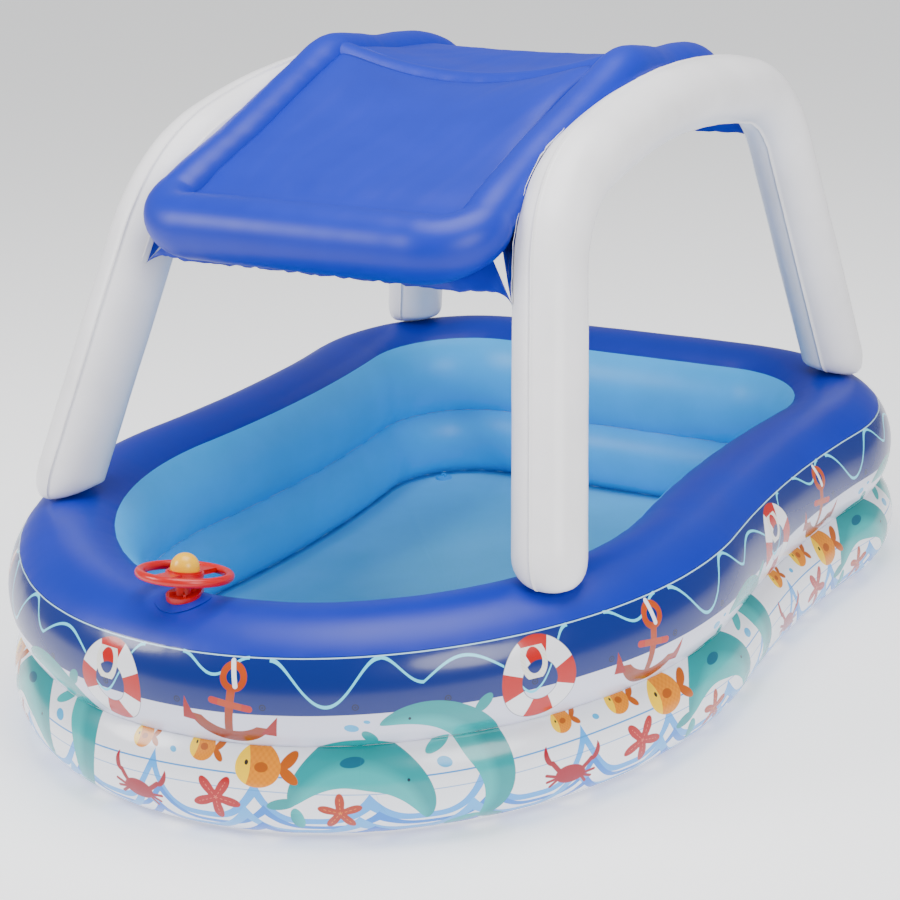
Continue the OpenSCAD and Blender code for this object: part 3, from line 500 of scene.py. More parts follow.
def thin_sheet(name, grid, material, thick=0.0006):
    """A closed thin sheet over a grid of points."""
    grid = np.asarray(grid, float)
    n, m, _ = grid.shape
    gu, gv = np.gradient(grid, axis=0), np.gradient(grid, axis=1)
    normal = np.cross(gu, gv)
    normal /= np.maximum(np.linalg.norm(normal, axis=2, keepdims=True), 1e-12)
    points = np.vstack([(grid + normal * thick / 2).reshape(-1, 3),
                        (grid - normal * thick / 2).reshape(-1, 3)])
    faces, under = [], n * m
    for i in range(n - 1):
        for j in range(m - 1):
            a, b, c, d = i * m + j, (i + 1) * m + j, (i + 1) * m + j + 1, i * m + j + 1
            faces += [[a, b, c, d], [under + d, under + c, under + b, under + a]]
    edge = [(i, 0) for i in range(n - 1)] + [(n - 1, j) for j in range(m - 1)]
    edge += [(i, m - 1) for i in range(n - 1, 0, -1)] + [(0, j) for j in range(m - 1, 0, -1)]
    for (a, b), (c, d) in zip(edge, edge[1:] + edge[:1]):
        p, q = a * m + b, c * m + d
        faces.append([p, under + p, under + q, q])
    return build(name, points, faces, [material])


def sheet_size(grid):
    """Longest row of a grid of points, its mean depth and its area."""
    grid = np.asarray(grid, float)
    rows = np.linalg.norm(np.diff(grid, axis=1), axis=2).sum(1)
    a = np.cross(grid[1:, :-1] - grid[:-1, :-1], grid[:-1, 1:] - grid[:-1, :-1])
    b = np.cross(grid[:-1, 1:] - grid[1:, 1:], grid[1:, :-1] - grid[1:, 1:])
    area = (np.linalg.norm(a, axis=2).sum() + np.linalg.norm(b, axis=2).sum()) / 2
    return float(rows.max()), float(area / rows.max()), float(area)


def put(piece, nodes, body=HULL):
    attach(piece, body)
    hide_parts(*nodes)
    return piece


# ---------------------------------------------------------------- plan and section of the two rings, mm
POOL_L, POOL_W, BULGE = 2130.0, 1550.0, 141.0
CORNER_R, WAIST_R, BOW_R, BOW_ANGLE = 320.0, 2700.0, 560.0, math.radians(54)
HALF_W, HALF_L = POOL_W / 2 - BULGE, POOL_L / 2 - BULGE


def arc_run(centre, radius, a0, a1, steps):
    a = np.linspace(a0, a1, steps + 1)[1:]
    return np.c_[centre[0] + radius * np.cos(a), centre[1] + radius * np.sin(a), a]


def ring_plan():
    """Points and outward directions round the middle of the ring, from the stern over the right side."""
    corner = np.array([HALF_W - CORNER_R, HALF_L - CORNER_R])
    bow = np.array([0, BOW_R - HALF_L])
    side_r = (HALF_W - BOW_R * math.cos(BOW_ANGLE)) / (1 - math.cos(BOW_ANGLE))
    side = bow + (BOW_R - side_r) * np.array([math.cos(BOW_ANGLE), -math.sin(BOW_ANGLE)])
    gap = np.linalg.norm(side - corner)
    u = (side - corner) / gap
    r1, r2 = WAIST_R + CORNER_R, WAIST_R + side_r
    a = (r1 * r1 - r2 * r2 + gap * gap) / (2 * gap)
    waist = corner + a * u + math.sqrt(r1 * r1 - a * a) * np.array([-u[1], u[0]])
    a_corner = math.atan2(waist[1] - corner[1], waist[0] - corner[0])
    a_side = math.atan2(waist[1] - side[1], waist[0] - side[0])
    start = np.linspace(0, corner[0], 22)
    half = np.vstack([
        np.c_[start, np.full(22, HALF_L), np.full(22, math.pi / 2)],
        arc_run(corner, CORNER_R, math.pi / 2, a_corner, 64),
        arc_run(waist, -WAIST_R, a_corner, a_side, 40),
        arc_run(side, side_r, a_side, -BOW_ANGLE, 100),
        arc_run(bow, BOW_R, -BOW_ANGLE, -math.pi / 2, 52)])
    left = half[::-1][1:-1].copy()
    left[:, 0] *= -1
    left[:, 2] = math.pi - left[:, 2]
    return np.vstack([half, left]), (side, side_r, corner)


PLAN, (SIDE_C, SIDE_R, CORNER_C) = ring_plan()
OUTWARD = np.c_[np.cos(PLAN[:, 2]), np.sin(PLAN[:, 2])]


def wall_lengths(offset=120.0):
    line = PLAN[:, :2] + offset * OUTWARD
    steps = np.linalg.norm(np.diff(np.vstack([line, line[:1]]), axis=0), axis=1)
    return np.r_[0, np.cumsum(steps)] / 1000


def circle_through(p, q, r):
    ax, ay, bx, by, cx, cy = *p, *q, *r
    d = 2 * (ax * (by - cy) + bx * (cy - ay) + cx * (ay - by))
    aa, bb, cc = ax * ax + ay * ay, bx * bx + by * by, cx * cx + cy * cy
    return np.array([(aa * (by - cy) + bb * (cy - ay) + cc * (ay - by)) / d,
                     (aa * (cx - bx) + bb * (ax - cx) + cc * (bx - ax)) / d])


def arc_through(p, q, r, steps):
    """Points on the arc p-q-r, closer together near its two welds."""
    c = circle_through(p, q, r)
    a0 = math.atan2(p[1] - c[1], p[0] - c[0])
    full = (math.atan2(r[1] - c[1], r[0] - c[0]) - a0) % (2 * math.pi)
    mid = (math.atan2(q[1] - c[1], q[0] - c[0]) - a0) % (2 * math.pi)
    sweep = full if mid < full else full - 2 * math.pi
    t = np.linspace(0, 1, steps + 1)
    t = t - 0.11 * np.sin(2 * math.pi * t)
    return c + math.dist(p, c) * np.c_[np.cos(a0 + sweep * t), np.sin(a0 + sweep * t)]


WALL_H, JOINT_H = 410.0, 190.0
UPPER_MID, LOWER_MID = (WALL_H + JOINT_H) / 2 - 14, JOINT_H / 2 + 5
RIM_OUT, RIM_IN, RIM_TOP = (103, WALL_H - 45), (-87, WALL_H - 30), (8, WALL_H)
JOINT_OUT, JOINT_IN, FLOOR_WELD = (100, JOINT_H), (-100, JOINT_H), (-105, 25)
BASE_OUT, BASE_IN = (66, 0), (-60, 0)


def section(parts):
    """Joins arcs to one closed section: points, which panel each step belongs to, and nearness to a weld."""
    points, kinds, near = [], [], []
    for kind, run in parts:
        t = np.linspace(0, 1, len(run))
        length = np.linalg.norm(run[-1] - run[0])
        points.append(run[:-1])
        kinds += [kind] * (len(run) - 1)
        near.append(np.exp(-np.minimum(t, 1 - t)[:-1] * length / 32))
    return np.vstack(points), kinds, np.concatenate(near)


def ring_rows(profile, near, seed, lift):
    """Sweeps a section round the plan, puckered at its welds and gently uneven between them."""
    lengths = wall_lengths()[:-1]
    middle = profile.mean(0)
    away = profile - middle
    away /= np.linalg.norm(away, axis=1, keepdims=True)
    rows = []
    for i, (x, y, a) in enumerate(PLAN):
        s = lengths[i]
        pucker = np.array([ruffle(s * 9, seed + 0.7 * j) for j in (0, 1)])
        slow = ruffle(s, seed + 3)
        shift = near * (pucker[0] * 0.9 + 0.5 * pucker[1]) * lift + (1 - near) * slow * 0.9
        p = profile + away * shift[:, None] * (np.abs(profile[:, 1:2] - 0) > 2)
        rows.append(np.c_[x + p[:, 0] * math.cos(a), y + p[:, 0] * math.sin(a), p[:, 1]])
    return np.array(rows) / 1000


def heights_of(profile):
    return np.r_[profile[:, 1], profile[0, 1]] / 1000


def flat_run(p, q, steps):
    t = np.linspace(0, 1, steps + 1)[:, None]
    return np.asarray(p, float) * (1 - t) + np.asarray(q, float) * t


def make_rings():
    lift = 0.2
    up_out = arc_through((JOINT_OUT[0], JOINT_OUT[1] + lift), (134, UPPER_MID - 2), RIM_OUT, 20)
    rim = arc_through(RIM_OUT, RIM_TOP, RIM_IN, 24)
    up_in = arc_through(RIM_IN, (-134, UPPER_MID), (JOINT_IN[0], JOINT_IN[1] + lift), 20)
    divider = flat_run((JOINT_IN[0], JOINT_IN[1] + lift), (JOINT_OUT[0], JOINT_OUT[1] + lift), 4)
    profile, kinds, near = section([(0, up_out), (1, rim), (2, up_in), (3, divider)])
    upper = closed_tube("upper_ring_chamber", ring_rows(profile, near, 1.3, 0.55),
                        [print_up, rim_blue, basin_blue, base_white],
                        kinds, wall_lengths(), heights_of(profile), flip=True)
    put(upper, ["rim_panel", "upper_outer_panel", "upper_inner_panel", "divider_sheet"])

    low_out = arc_through(BASE_OUT, (BULGE, LOWER_MID), (JOINT_OUT[0], JOINT_OUT[1] - lift), 22)
    under = flat_run((JOINT_OUT[0], JOINT_OUT[1] - lift), (JOINT_IN[0], JOINT_IN[1] - lift), 4)
    low_in = arc_through((JOINT_IN[0], JOINT_IN[1] - lift), (-BULGE, LOWER_MID + 8), FLOOR_WELD, 18)
    base = np.vstack([arc_through(FLOOR_WELD, (-88, 7), BASE_IN, 5), flat_run(BASE_IN, BASE_OUT, 4)[1:]])
    profile, kinds, near = section([(0, low_out), (2, under), (1, low_in), (2, base)])
    lower = closed_tube("lower_ring_chamber", ring_rows(profile, near, 2.9, 0.55),
                        [print_down, basin_blue, base_white],
                        kinds, wall_lengths(), heights_of(profile), flip=True)
    put(lower, ["lower_outer_panel", "lower_inner_panel", "base_panel"])


def make_floor_sheet():
    """The basin's floor: a flat sheet with a few soft folds that run in from its weld."""
    edge = (PLAN[:, :2] + FLOOR_WELD[0] * OUTWARD)[::2]
    shares = np.linspace(0.0, 1.0, 26)
    s = np.linspace(0, 2 * math.pi, len(edge), endpoint=False)
    points, rows = [], len(shares)
    for k, f in enumerate(shares[1:]):
        fold = ruffle(s * 3, 4.0) * 1.3 * f ** 2 * (1 - f) * 4 + ruffle(s * 1.0 + 4 * f, 1.0) * 0.9 * (1 - f)
        points.append(np.c_[edge * f, 25.0 + fold * 1.3])
    ring = np.array(points) / 1000
    m = len(edge)
    top = np.vstack([ring.reshape(-1, 3), [[0, 0, 0.0252]]])
    verts = np.vstack([top, top - [0, 0, 0.0005]])
    faces, below, centre = [], len(top), len(top) - 1
    for k in range(rows - 2):
        for j in range(m):
            q = (j + 1) % m
            f = [k * m + j, k * m + q, (k + 1) * m + q, (k + 1) * m + j]
            faces += [f, [below + v for v in f[::-1]]]
    for j in range(m):
        q = (j + 1) % m
        faces += [[centre, q, j], [below + centre, below + j, below + q]]
        last = (rows - 2) * m
        faces.append([last + j, last + q, below + last + q, below + last + j])
    piece = build("basin_floor_sheet", verts, faces, [floor_blue])
    put(piece, ["floor_sheet"])
    area = abs(np.sum(edge[:, 0] * np.roll(edge[:, 1], -1) - np.roll(edge[:, 0], -1) * edge[:, 1])) / 2e6


make_rings()
make_floor_sheet()


# ---------------------------------------------------------------- arches, mm
ARCH_R, TILT, FOOT_OUT = 70.0, math.radians(11), 25.0
HEADS = [math.radians(a) for a in (67.5, 13.5, -11.5, -80.5)]
BENDS = (300.0, 1750.0, 175.0)
RIM_C = circle_through(RIM_OUT, RIM_TOP, RIM_IN)
RIM_RAD = math.dist(RIM_C, RIM_OUT)
FOOT_STACK = 2.4


def rim_foot(centre, radius, degrees):
    """Where a foot stands on the rim, and the rim's normal there."""
    a = math.radians(degrees)
    high = RIM_C[1] + math.sqrt(RIM_RAD ** 2 - (FOOT_OUT - RIM_C[0]) ** 2)
    lean = np.array([FOOT_OUT - RIM_C[0], high - RIM_C[1]]) / RIM_RAD
    normal = np.array([lean[0] * math.cos(a), lean[0] * math.sin(a), lean[1]])
    reach = radius + FOOT_OUT
    place = np.array([centre[0] + reach * math.cos(a), centre[1] + reach * math.sin(a), high])
    return place + FOOT_STACK * normal, normal


FRONT_FOOT, FRONT_N = rim_foot(SIDE_C, SIDE_R, -28.4)
REAR_FOOT, REAR_N = rim_foot(CORNER_C, CORNER_R, 39.8)
ARCH_SIDE = np.array([math.cos(TILT), 0, math.sin(TILT)])


def bend_step(r, h0, h1):
    return r * np.array([math.sin(h0) - math.sin(h1), math.cos(h1) - math.cos(h0)])


def arch_line():
    """Leg, bend, crowned top, bend, leg: a function of length, and the whole length."""
    gap = np.array([REAR_FOOT[1] - FRONT_FOOT[1], (REAR_FOOT[2] - FRONT_FOOT[2]) / math.cos(TILT)])
    for i in range(3):
        gap = gap - bend_step(BENDS[i], HEADS[i], HEADS[i + 1])
    det = math.sin(HEADS[3] - HEADS[0])
    front = (gap[0] * math.sin(HEADS[3]) - gap[1] * math.cos(HEADS[3])) / det
    rear = (gap[1] * math.cos(HEADS[0]) - gap[0] * math.sin(HEADS[0])) / det
    corners = [front]
    starts = [front * np.array([math.cos(HEADS[0]), math.sin(HEADS[0])])]
    for i in range(3):
        corners.append(corners[-1] + BENDS[i] * (HEADS[i] - HEADS[i + 1]))
        starts.append(starts[-1] + bend_step(BENDS[i], HEADS[i], HEADS[i + 1]))

    def at(s):
        if s < corners[0]:
            return s * np.array([math.cos(HEADS[0]), math.sin(HEADS[0])]), HEADS[0]
        for i in range(3):
            if s < corners[i + 1]:
                h = HEADS[i] - (s - corners[i]) / BENDS[i]
                return starts[i] + bend_step(BENDS[i], HEADS[i], h), h
        return starts[3] + (s - corners[3]) * np.array([math.cos(HEADS[3]), math.sin(HEADS[3])]), HEADS[3]
    return at, corners[3] + rear, corners


ARCH_AT, ARCH_LEN, ARCH_CORNERS = arch_line()


def arch_point(s):
    (along, up), h = ARCH_AT(s)
    f = along / (REAR_FOOT[1] - FRONT_FOOT[1])
    place = np.array([FRONT_FOOT[0] + f * (REAR_FOOT[0] - FRONT_FOOT[0]) - up * math.sin(TILT),
                      FRONT_FOOT[1] + along, FRONT_FOOT[2] + up * math.cos(TILT)])
    way = np.array([-math.sin(TILT) * math.sin(h), math.cos(h), math.cos(TILT) * math.sin(h)])
    return place, way


def unit(v):
    return v / np.linalg.norm(v)


# half turns of the section: smooth wall, with a thin weld fin on the outer and the inner line
def finned_section(count=20, fin=3.2, half=0.32):
    turns, radii, near = [], [], []
    for start in (0, 1):
        a = np.linspace(0, math.pi, count + 1)
        a = a - 0.16 * np.sin(2 * a)
        for t in a[:-1]:
            turns.append(t + math.pi * start)
            radii.append(0.0)
            near.append(math.exp(-min(t, math.pi - t) / 0.22))
    turns, radii, near = np.array(turns), np.array(radii), np.array(near)
    out = []
    for t, n in zip(turns, near):
        if abs(math.sin(t)) < 1e-9:
            d = half / ARCH_R
            out += [(t - d, 0.0, 1.0), (t - d, fin, 1.0), (t + d, fin, 1.0), (t + d, 0.0, 1.0)]
        else:
            out.append((t, 0.0, n))
    return np.array(out)


def make_arch(side, name, nodes):
    shape = finned_section()
    dome = [(0.0, 0.30), (0.6, 0.48), (2.2, 0.64), (6, 0.775), (12, 0.87), (20, 0.935), (31, 0.98), (44, 1.0)]
    lengths = [d for d, _ in dome]
    middle = list(np.linspace(56, ARCH_LEN - 56, 210))
    ends = [ARCH_LEN - d for d in lengths[::-1]]
    stations = [(s, r) for s, (_, r) in zip(lengths, dome)] + [(s, 1.0) for s in middle]
    stations += [(s, r) for s, (_, r) in zip(ends, dome[::-1])]
    rows = []
    for s, share in stations:
        place, way = arch_point(s)
        if s < 48:
            way = unit(FRONT_N * (1 - s / 48) + way * (s / 48))
        if s > ARCH_LEN - 48:
            f = (ARCH_LEN - s) / 48
            way = unit(-REAR_N * (1 - f) + way * f)
        e = unit(ARCH_SIDE - (ARCH_SIDE @ way) * way)
        n = np.cross(e, way)
        in_bend = ARCH_CORNERS[0] < s < ARCH_CORNERS[1] or ARCH_CORNERS[2] < s < ARCH_CORNERS[3]
        bend_inner = 1.0 if in_bend else 0.35
        row = []
        for t, fin, near in shape:
            inner = abs(abs((t % (2 * math.pi)) - math.pi) / math.pi) < 0.35
            tuck = (ruffle(s * 0.011, 5.0 + (2.0 if inner else 0)) * near
                    * (bend_inner if inner else 0.3) * 1.1)
            swell = ruffle(s * 0.0016, 2.0) * 0.6
            r = (ARCH_R + tuck + swell) * share + fin * min(1.0, share * 1.15)
            row.append(place + r * (math.cos(t) * n + math.sin(t) * e))
        rows.append(row)
    rows = np.array(rows) / 1000
    if side < 0:
        rows[:, :, 0] *= -1
    piece = closed_tube(name, rows, [arch_white], loop=False, flip=side < 0)
    put(piece, nodes)
    return piece


make_arch(1, "arch_right", ["right_arch_outboard_panel", "right_arch_inboard_panel", "leg_end_discs"])
make_arch(-1, "arch_left", ["left_arch_outboard_panel", "left_arch_inboard_panel"])


# ---------------------------------------------------------------- sunshade, mm
SHADE_LINE = np.array([[-472, 974], [-330, 1030], [-180, 1080], [-40, 1127], [90, 1170], [180, 1197],
                       [265, 1187], [350, 1172], [440, 1166], [530, 1154], [612, 1120], [672, 1064]], float)
SHADE_HALF = np.array([[-472, 352], [-330, 348], [-180, 344], [-40, 348], [180, 354], [350, 348], [440, 346],
                       [530, 340], [672, 322]], float)
FRONT_R, SIDE_TUBE_R, FRONT_CORNER, REAR_CORNER = 66.0, 52.0, 84.0, 62.0
RIDGE_Y, RIDGE_SAG, RIDGE_R = 180.0, 60.0, 46.0
UNDER_WELD, INNER_WELD = -100, 150  # degrees round the frame tube


def smooth_line(x, keys):
    """Monotone-slope curve through the keys, column 1 over column 0."""
    kx, ky = keys[:, 0], keys[:, 1]
    slope = np.gradient(ky, kx)
    i = np.clip(np.searchsorted(kx, x) - 1, 0, len(kx) - 2)
    h = kx[i + 1] - kx[i]
    t = (x - kx[i]) / h
    return ((2 * t ** 3 - 3 * t ** 2 + 1) * ky[i] + (t ** 3 - 2 * t ** 2 + t) * h * slope[i]
            + (3 * t ** 2 - 2 * t ** 3) * ky[i + 1] + (t ** 3 - t ** 2) * h * slope[i + 1])


def side_way(y):
    """Direction of the side tube at distance y along the boat."""
    rise = smooth_line(np.array([y + 1]), SHADE_LINE)[0] - smooth_line(np.array([y - 1]), SHADE_LINE)[0]
    return unit(np.array([0, 2.0, rise]))


def shade_stations():
    """Right half of the frame tube, front middle to rear middle: place, outward, up, radius."""
    found = []
    y0, y1 = SHADE_LINE[0, 0], SHADE_LINE[-1, 0]
    z0, z1 = SHADE_LINE[0, 1], SHADE_LINE[-1, 1]
    f_dir = unit(np.array([0, 142.0, 56.0]))
    r_dir = unit(np.array([0, -60.0, 56.0]))
    f_up, r_up = np.array([0, -f_dir[2], f_dir[1]]), np.array([0, r_dir[2], -r_dir[1]])
    across = np.array([1.0, 0, 0])
    for x in np.linspace(0, 1, 26)[:-1] * (SHADE_HALF[0, 1] - FRONT_CORNER):
        found.append((np.array([x, y0, z0]), -f_dir, f_up, FRONT_R))
    centre = np.array([SHADE_HALF[0, 1] - FRONT_CORNER, y0, z0]) + FRONT_CORNER * f_dir
    for a in np.linspace(0, math.pi / 2, 15):
        o = -math.cos(a) * f_dir + math.sin(a) * across
        radius = FRONT_R + (SIDE_TUBE_R - FRONT_R) * a / (math.pi / 2)
        found.append((centre + FRONT_CORNER * o, o, f_up, radius))
    last = np.array([SHADE_HALF[-1, 1] - REAR_CORNER, y1, z1]) + REAR_CORNER * r_dir
    ys = np.linspace(found[-1][0][1], last[1], 104)[1:-1]
    for y in ys:
        z = smooth_line(np.array([y]), SHADE_LINE)[0]
        d = side_way(y)
        w = smooth_line(np.array([y]), SHADE_HALF)[0]
        found.append((np.array([w, y, z]), across, np.array([0, -d[2], d[1]]), SIDE_TUBE_R))
    for a in np.linspace(math.pi / 2, 0, 13):
        o = -math.cos(a) * r_dir + math.sin(a) * across
        found.append((last + REAR_CORNER * o, o, r_up, SIDE_TUBE_R - 4 * (1 - a / (math.pi / 2))))
    for x in np.linspace(1, 0, 24)[1:] * (SHADE_HALF[-1, 1] - REAR_CORNER):
        found.append((np.array([x, y1, z1]), -r_dir, r_up, SIDE_TUBE_R - 4))
    return found


SHADE = shade_stations()
FRONT_CORNER_END, REAR_CORNER_START = 25 + 14, 25 + 15 + 102


def tube_wall(station, degrees, lift=0.0):
    place, out, up, r = station
    a = math.radians(degrees)
    return place + (r + lift) * (math.cos(a) * out + math.sin(a) * up)


def mirrored_point(p):
    return np.array([-p[0], p[1], p[2]])


def make_shade_frame():
    """The inflated frame: one closed tube, puckered along its two welds."""
    round_again = UNDER_WELD + 360
    degrees = np.r_[np.linspace(UNDER_WELD, INNER_WELD, 22)[:-1], np.linspace(INNER_WELD, round_again, 12)[:-1]]
    off_weld = np.minimum(np.abs(degrees - INNER_WELD), np.abs(degrees - round_again))
    near = np.exp(-np.minimum(np.abs(degrees - UNDER_WELD), off_weld) / 15.0)
    s, before = 0.0, None
    half = []
    for station in SHADE:
        if before is not None:
            s += np.linalg.norm(station[0] - before)
        before = station[0]
        row = []
        for d, n in zip(degrees, near):
            tuck = ruffle(s * 0.016 + 3, 2.0 + (d > 90)) * n * 1.6 + ruffle(s * 0.003, 7.0) * 0.8
            row.append(tube_wall(station, d, tuck))
        half.append(row)
    left = [[mirrored_point(p) for p in row] for row in half[::-1][1:-1]]
    rows = np.array(half + left) / 1000
    piece = closed_tube("sunshade_frame_tube", rows, [shade_blue], flip=True)
    put(piece, ["shade_tube_top_panel", "shade_tube_under_panel"])


def ridge_fall(u):
    return RIDGE_SAG * (1 - u * u)


def make_ridge():
    """The inflated ridge tube, sagging between the side tubes."""
    w = smooth_line(np.array([RIDGE_Y]), SHADE_HALF)[0]
    z = smooth_line(np.array([RIDGE_Y]), SHADE_LINE)[0]
    degrees = np.linspace(0, 360, 33)[:-1]
    rows = []
    for u in np.linspace(-1, 1, 61):
        row = []
        for d in degrees:
            a = math.radians(d)
            near = math.exp(-min(abs(d - 40), abs(d - 140)) / 12)
            r = RIDGE_R + ruffle(u * 4 + 2, 3.0) * near * 1.5
            row.append([u * (w - 10), RIDGE_Y + r * math.cos(a), z - ridge_fall(u) + r * math.sin(a)])
        rows.append(row)
    piece = closed_tube("sunshade_ridge_tube", np.array(rows) / 1000, [shade_blue], loop=False, flip=True)
    put(piece, ["ridge_top_panel", "ridge_under_panel"])
    return z


def seam_at(y):
    """Right inner weld of the frame at distance y along the boat."""
    z = smooth_line(np.array([y]), SHADE_LINE)[0]
    d = side_way(y)
    w = smooth_line(np.array([y]), SHADE_HALF)[0]
    up = np.array([0, -d[2], d[1]])
    return tube_wall((np.array([w, y, z]), np.array([1.0, 0, 0]), up, SIDE_TUBE_R), INNER_WELD, -3.0)


def make_shade_sheets():
    z_ridge = smooth_line(np.array([RIDGE_Y]), SHADE_LINE)[0]
    columns = np.linspace(-1, 1, 61)
    front_mid = tube_wall(SHADE[0], INNER_WELD, -0.6)
    rear_mid = tube_wall(SHADE[-1], INNER_WELD, -0.6)

    def panel(y_edge, edge_z, y_ridge, share, seed):
        rows = []
        for t in np.linspace(0, 1, 46):
            row = []
            for u in columns:
                corner, rim = max(0.0, 1 - t * 7) ** 2 * abs(u) ** 9, abs(u) ** 14
                y = y_edge + (y_ridge - y_edge) * t
                seam = seam_at(min(max(y, -440), 640))
                side_z = seam[2] * min(1, t * 7) + edge_z * max(0, 1 - t * 7)
                ridge = z_ridge + RIDGE_R * math.sin(math.radians(140))
                flat_z = side_z * (1 - t ** 3) + ridge * t ** 3
                flat_z = flat_z * (1 - rim) + side_z * rim
                flat_z = flat_z - ridge_fall(u) * (share * t ** 2 * (1 - t ** 3) + t ** 3)
                across = u + 0.10 * math.sin(3.1 * t + seed) + 0.05 * math.sin(7.3 * t + 2.2 * u + seed)
                edge = math.exp(-(1 - abs(u)) * 7) + math.exp(-t * 9) + math.exp(-(1 - t) * 11) * 1.2
                fold = ruffle(across * (2.6 - t), seed) * (0.5 + t) * 0.9
                fold += ruffle(t * 3.2 + across * 1.9 + 0.4 * math.sin(4.0 * across), seed + 2) * edge * 1.1
                pin = min(1.0, (1 - abs(u)) * 14) * min(1.0, t * 14) * min(1.0, (1 - t) * 14)
                half = seam[0] - 12 * corner
                row.append([u * half, y, flat_z + fold * pin - 2.5 * math.sin(math.pi * t) * (1 - u * u)])
            rows.append(row)
        return np.array(rows) / 1000

    turn = math.cos(math.radians(140)) * RIDGE_R
    front = panel(front_mid[1], front_mid[2], RIDGE_Y + turn + 2, 0.62, 1.0)
    rear = panel(rear_mid[1], rear_mid[2], RIDGE_Y - turn - 2, 0.85, 4.0)
    for name, grid, node in (("sunshade_front_sheet", front, "shade_front_sheet"),
                             ("sunshade_rear_sheet", rear[:, ::-1], "shade_rear_sheet")):
        piece = thin_sheet(name, grid, shade_blue)
        put(piece, [node])
        wide, long, area = sheet_size(grid)


FLANGE_FROM, FLANGE_TO = 505.0, ARCH_LEN - 560.0


def flange_weld(f):
    """Where the sunshade's flange meets the right arch, f from its front end to its rear end."""
    s = FLANGE_FROM + f * (FLANGE_TO - FLANGE_FROM)
    place, way = arch_point(s)
    e = unit(ARCH_SIDE - (ARCH_SIDE @ way) * way)
    n = np.cross(e, way)
    a = math.radians(50)
    return place + (ARCH_R + 1.0) * (-math.cos(a) * n * -1 - math.sin(a) * e)


def make_hem(name, stations, corner, node, degrees, deep, seed):
    """A loose hem that hangs below the frame tube and runs out to the arches at its corners."""
    count = len(stations)
    top = [tube_wall(s, degrees, 0.4) for s in stations]
    length = np.r_[0, np.cumsum([np.linalg.norm(b - a) for a, b in zip(top, top[1:])])]
    grid = []
    for t in np.linspace(0, 1, 9):
        row = []
        for i, p in enumerate(top):
            f = (i / (count - 1)) ** 4
            out = stations[i][1]
            free = p - np.array([0, 0, deep])
            end = free * (1 - f) + corner * f
            flutter = ruffle(length[i] * 0.028 + seed, seed) * 4.2 + ruffle(length[i] * 0.06, seed + 1) * 1.8
            flutter = flutter * t ** 1.3
            lift = ruffle(length[i] * 0.02, seed + 4) * 2.4 * t * (1 - f)
            row.append(p * (1 - t) + end * t + out * flutter * (1 - f) + np.array([0, 0, lift]))
        grid.append(row)
    right = np.array(grid)
    left = right[:, ::-1].copy()
    left[:, :, 0] *= -1
    whole = np.concatenate([left[:, :-1], right], axis=1) / 1000
    piece = thin_sheet(name, whole, shade_blue, 0.0008)
    put(piece, [node])
    wide, long, area = sheet_size(whole)


def make_flanges():
    """Wrinkled flanges that weld the sunshade to the arches, each with a pale ruffled weld strip."""
    run = SHADE[FRONT_CORNER_END:REAR_CORNER_START + 1]
    pieces = []
    for side, word in ((1, "right"), (-1, "left")):
        count = len(run)
        grid, strip_grid = [], []
        for t in np.linspace(0, 1, 8):
            row = []
            for i, s in enumerate(run):
                inner, outer = tube_wall(s, -62, 0.3), flange_weld(i / (count - 1))
                fold = ruffle(i * 0.42, 3.0) * 3.0 + ruffle(i * 0.9, 5.0) * 1.2
                fold = fold * math.sin(math.pi * min(1, t * 0.9 + 0.05))
                p = inner * (1 - t) + outer * t + np.array([0, 0, -7 * math.sin(math.pi * t) + fold])
                row.append([p[0] * side, p[1], p[2]])
            grid.append(row)
        grid = np.array(grid) / 1000
        piece = thin_sheet("sunshade_flange_" + word, grid if side > 0 else grid[:, ::-1], shade_blue, 0.0008)
        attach(piece, HULL)
        if side > 0:
            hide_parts("shade_side_flanges")
        for t in np.linspace(0, 1, 5):
            row = []
            for i in range(count):
                f = i / (count - 1)
                p = flange_weld(f)
                s = FLANGE_FROM + f * (FLANGE_TO - FLANGE_FROM)
                place, way = arch_point(s)
                out = unit(p - place)
                along_arch = unit(np.cross(way, out))
                q = p + along_arch * (13 * (t - 0.2)) + out * (abs(ruffle(i * 0.8, 2.0)) * 3.0 * t + 0.6)
                row.append([q[0] * side, q[1], q[2]])
            strip_grid.append(row)
        strip = np.array(strip_grid) / 1000
        band = thin_sheet("weld_strip_" + word, strip[:, ::-1] if side > 0 else strip, arch_white, 0.0008)
        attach(band, HULL)
        for made, shape in ((piece, grid), (band, strip)):
            wide, long, area = sheet_size(shape)


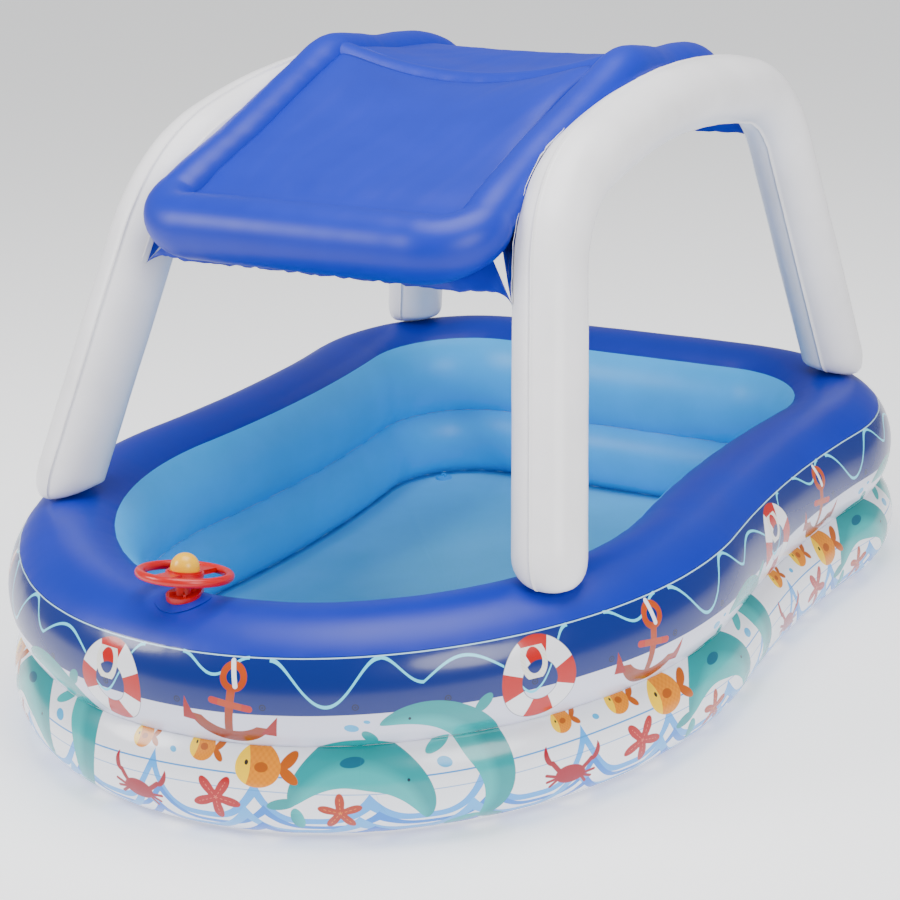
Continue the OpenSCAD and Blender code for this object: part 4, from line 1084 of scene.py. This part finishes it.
make_shade_frame()
make_ridge()
make_shade_sheets()
make_hem("sunshade_front_hem", SHADE[:FRONT_CORNER_END + 1], flange_weld(0.0), "shade_front_hem",
         -96, 22, 1.0)
make_hem("sunshade_rear_hem", SHADE[::-1][:len(SHADE) - REAR_CORNER_START], flange_weld(1.0),
         "shade_rear_hem", -60, 25, 6.0)
make_flanges()


# ---------------------------------------------------------------- finishes of the moulded pieces and trims
def finish_node(name, material):
    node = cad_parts[name]
    node.data.materials.clear()
    node.data.materials.append(material)


for part in ("wheel_base", "steering_wheel"):
    finish_node(part, toy_red)
finish_node("horn_button", toy_yellow)
finish_node("horn_squeaker", squeaker_grey)
for part in ("wheel_spindle", "spindle_washer", "spindle_screw"):
    finish_node(part, steel)
finish_node("wheel_patch", rim_blue)
for part in ("drain_seat", "drain_plug"):
    finish_node(part, basin_blue)
for part in ("leg_patches", "leg_snap_studs"):
    finish_node(part, clear)
for chamber in ("lower", "upper", "shade", "left_arch", "right_arch"):
    finish_node(chamber + "_valve_seat", clear)
    finish_node(chamber + "_valve_cap", clear)


# ---------------------------------------------------------------- studio
def make_studio():
    bpy.ops.object.select_all(action="DESELECT")
    bpy.ops.mesh.primitive_plane_add(size=40, location=(0, 0, -0.0005))
    floor = bpy.context.object
    floor.name = "studio_floor"
    material, tree, shader = new_material("studio_paper")
    place = place_of(tree)
    cloud = place.node("ShaderNodeTexNoise", None, {"Vector": place, "Scale": 0.4, "Detail": 2.0})
    tree.links.new(paint(rgb(244, 244, 245), rgb(250, 250, 251), cloud).socket, shader.inputs["Base Color"])
    shader.inputs["Roughness"].default_value = 0.75
    shader.inputs["Emission Color"].default_value = (1, 1, 1, 1)
    shader.inputs["Emission Strength"].default_value = 0.6
    floor.data.materials.append(material)
    world = bpy.data.worlds.new("studio_air")
    bpy.context.scene.world = world
    world.use_nodes = True
    world.node_tree.nodes["Background"].inputs["Color"].default_value = (0.96, 0.98, 1.0, 1)
    world.node_tree.nodes["Background"].inputs["Strength"].default_value = 0.45
    soft_light("overhead_softbox", (0.4, -0.2, 4.2), (0, 0, 0.3), 3.2, 200)
    soft_light("front_left_softbox", (-3.4, -3.6, 3.2), (0, -0.2, 0.4), 2.2, 210)
    soft_light("front_right_softbox", (3.6, -2.2, 2.4), (0.2, 0, 0.3), 2.0, 110)


make_studio()
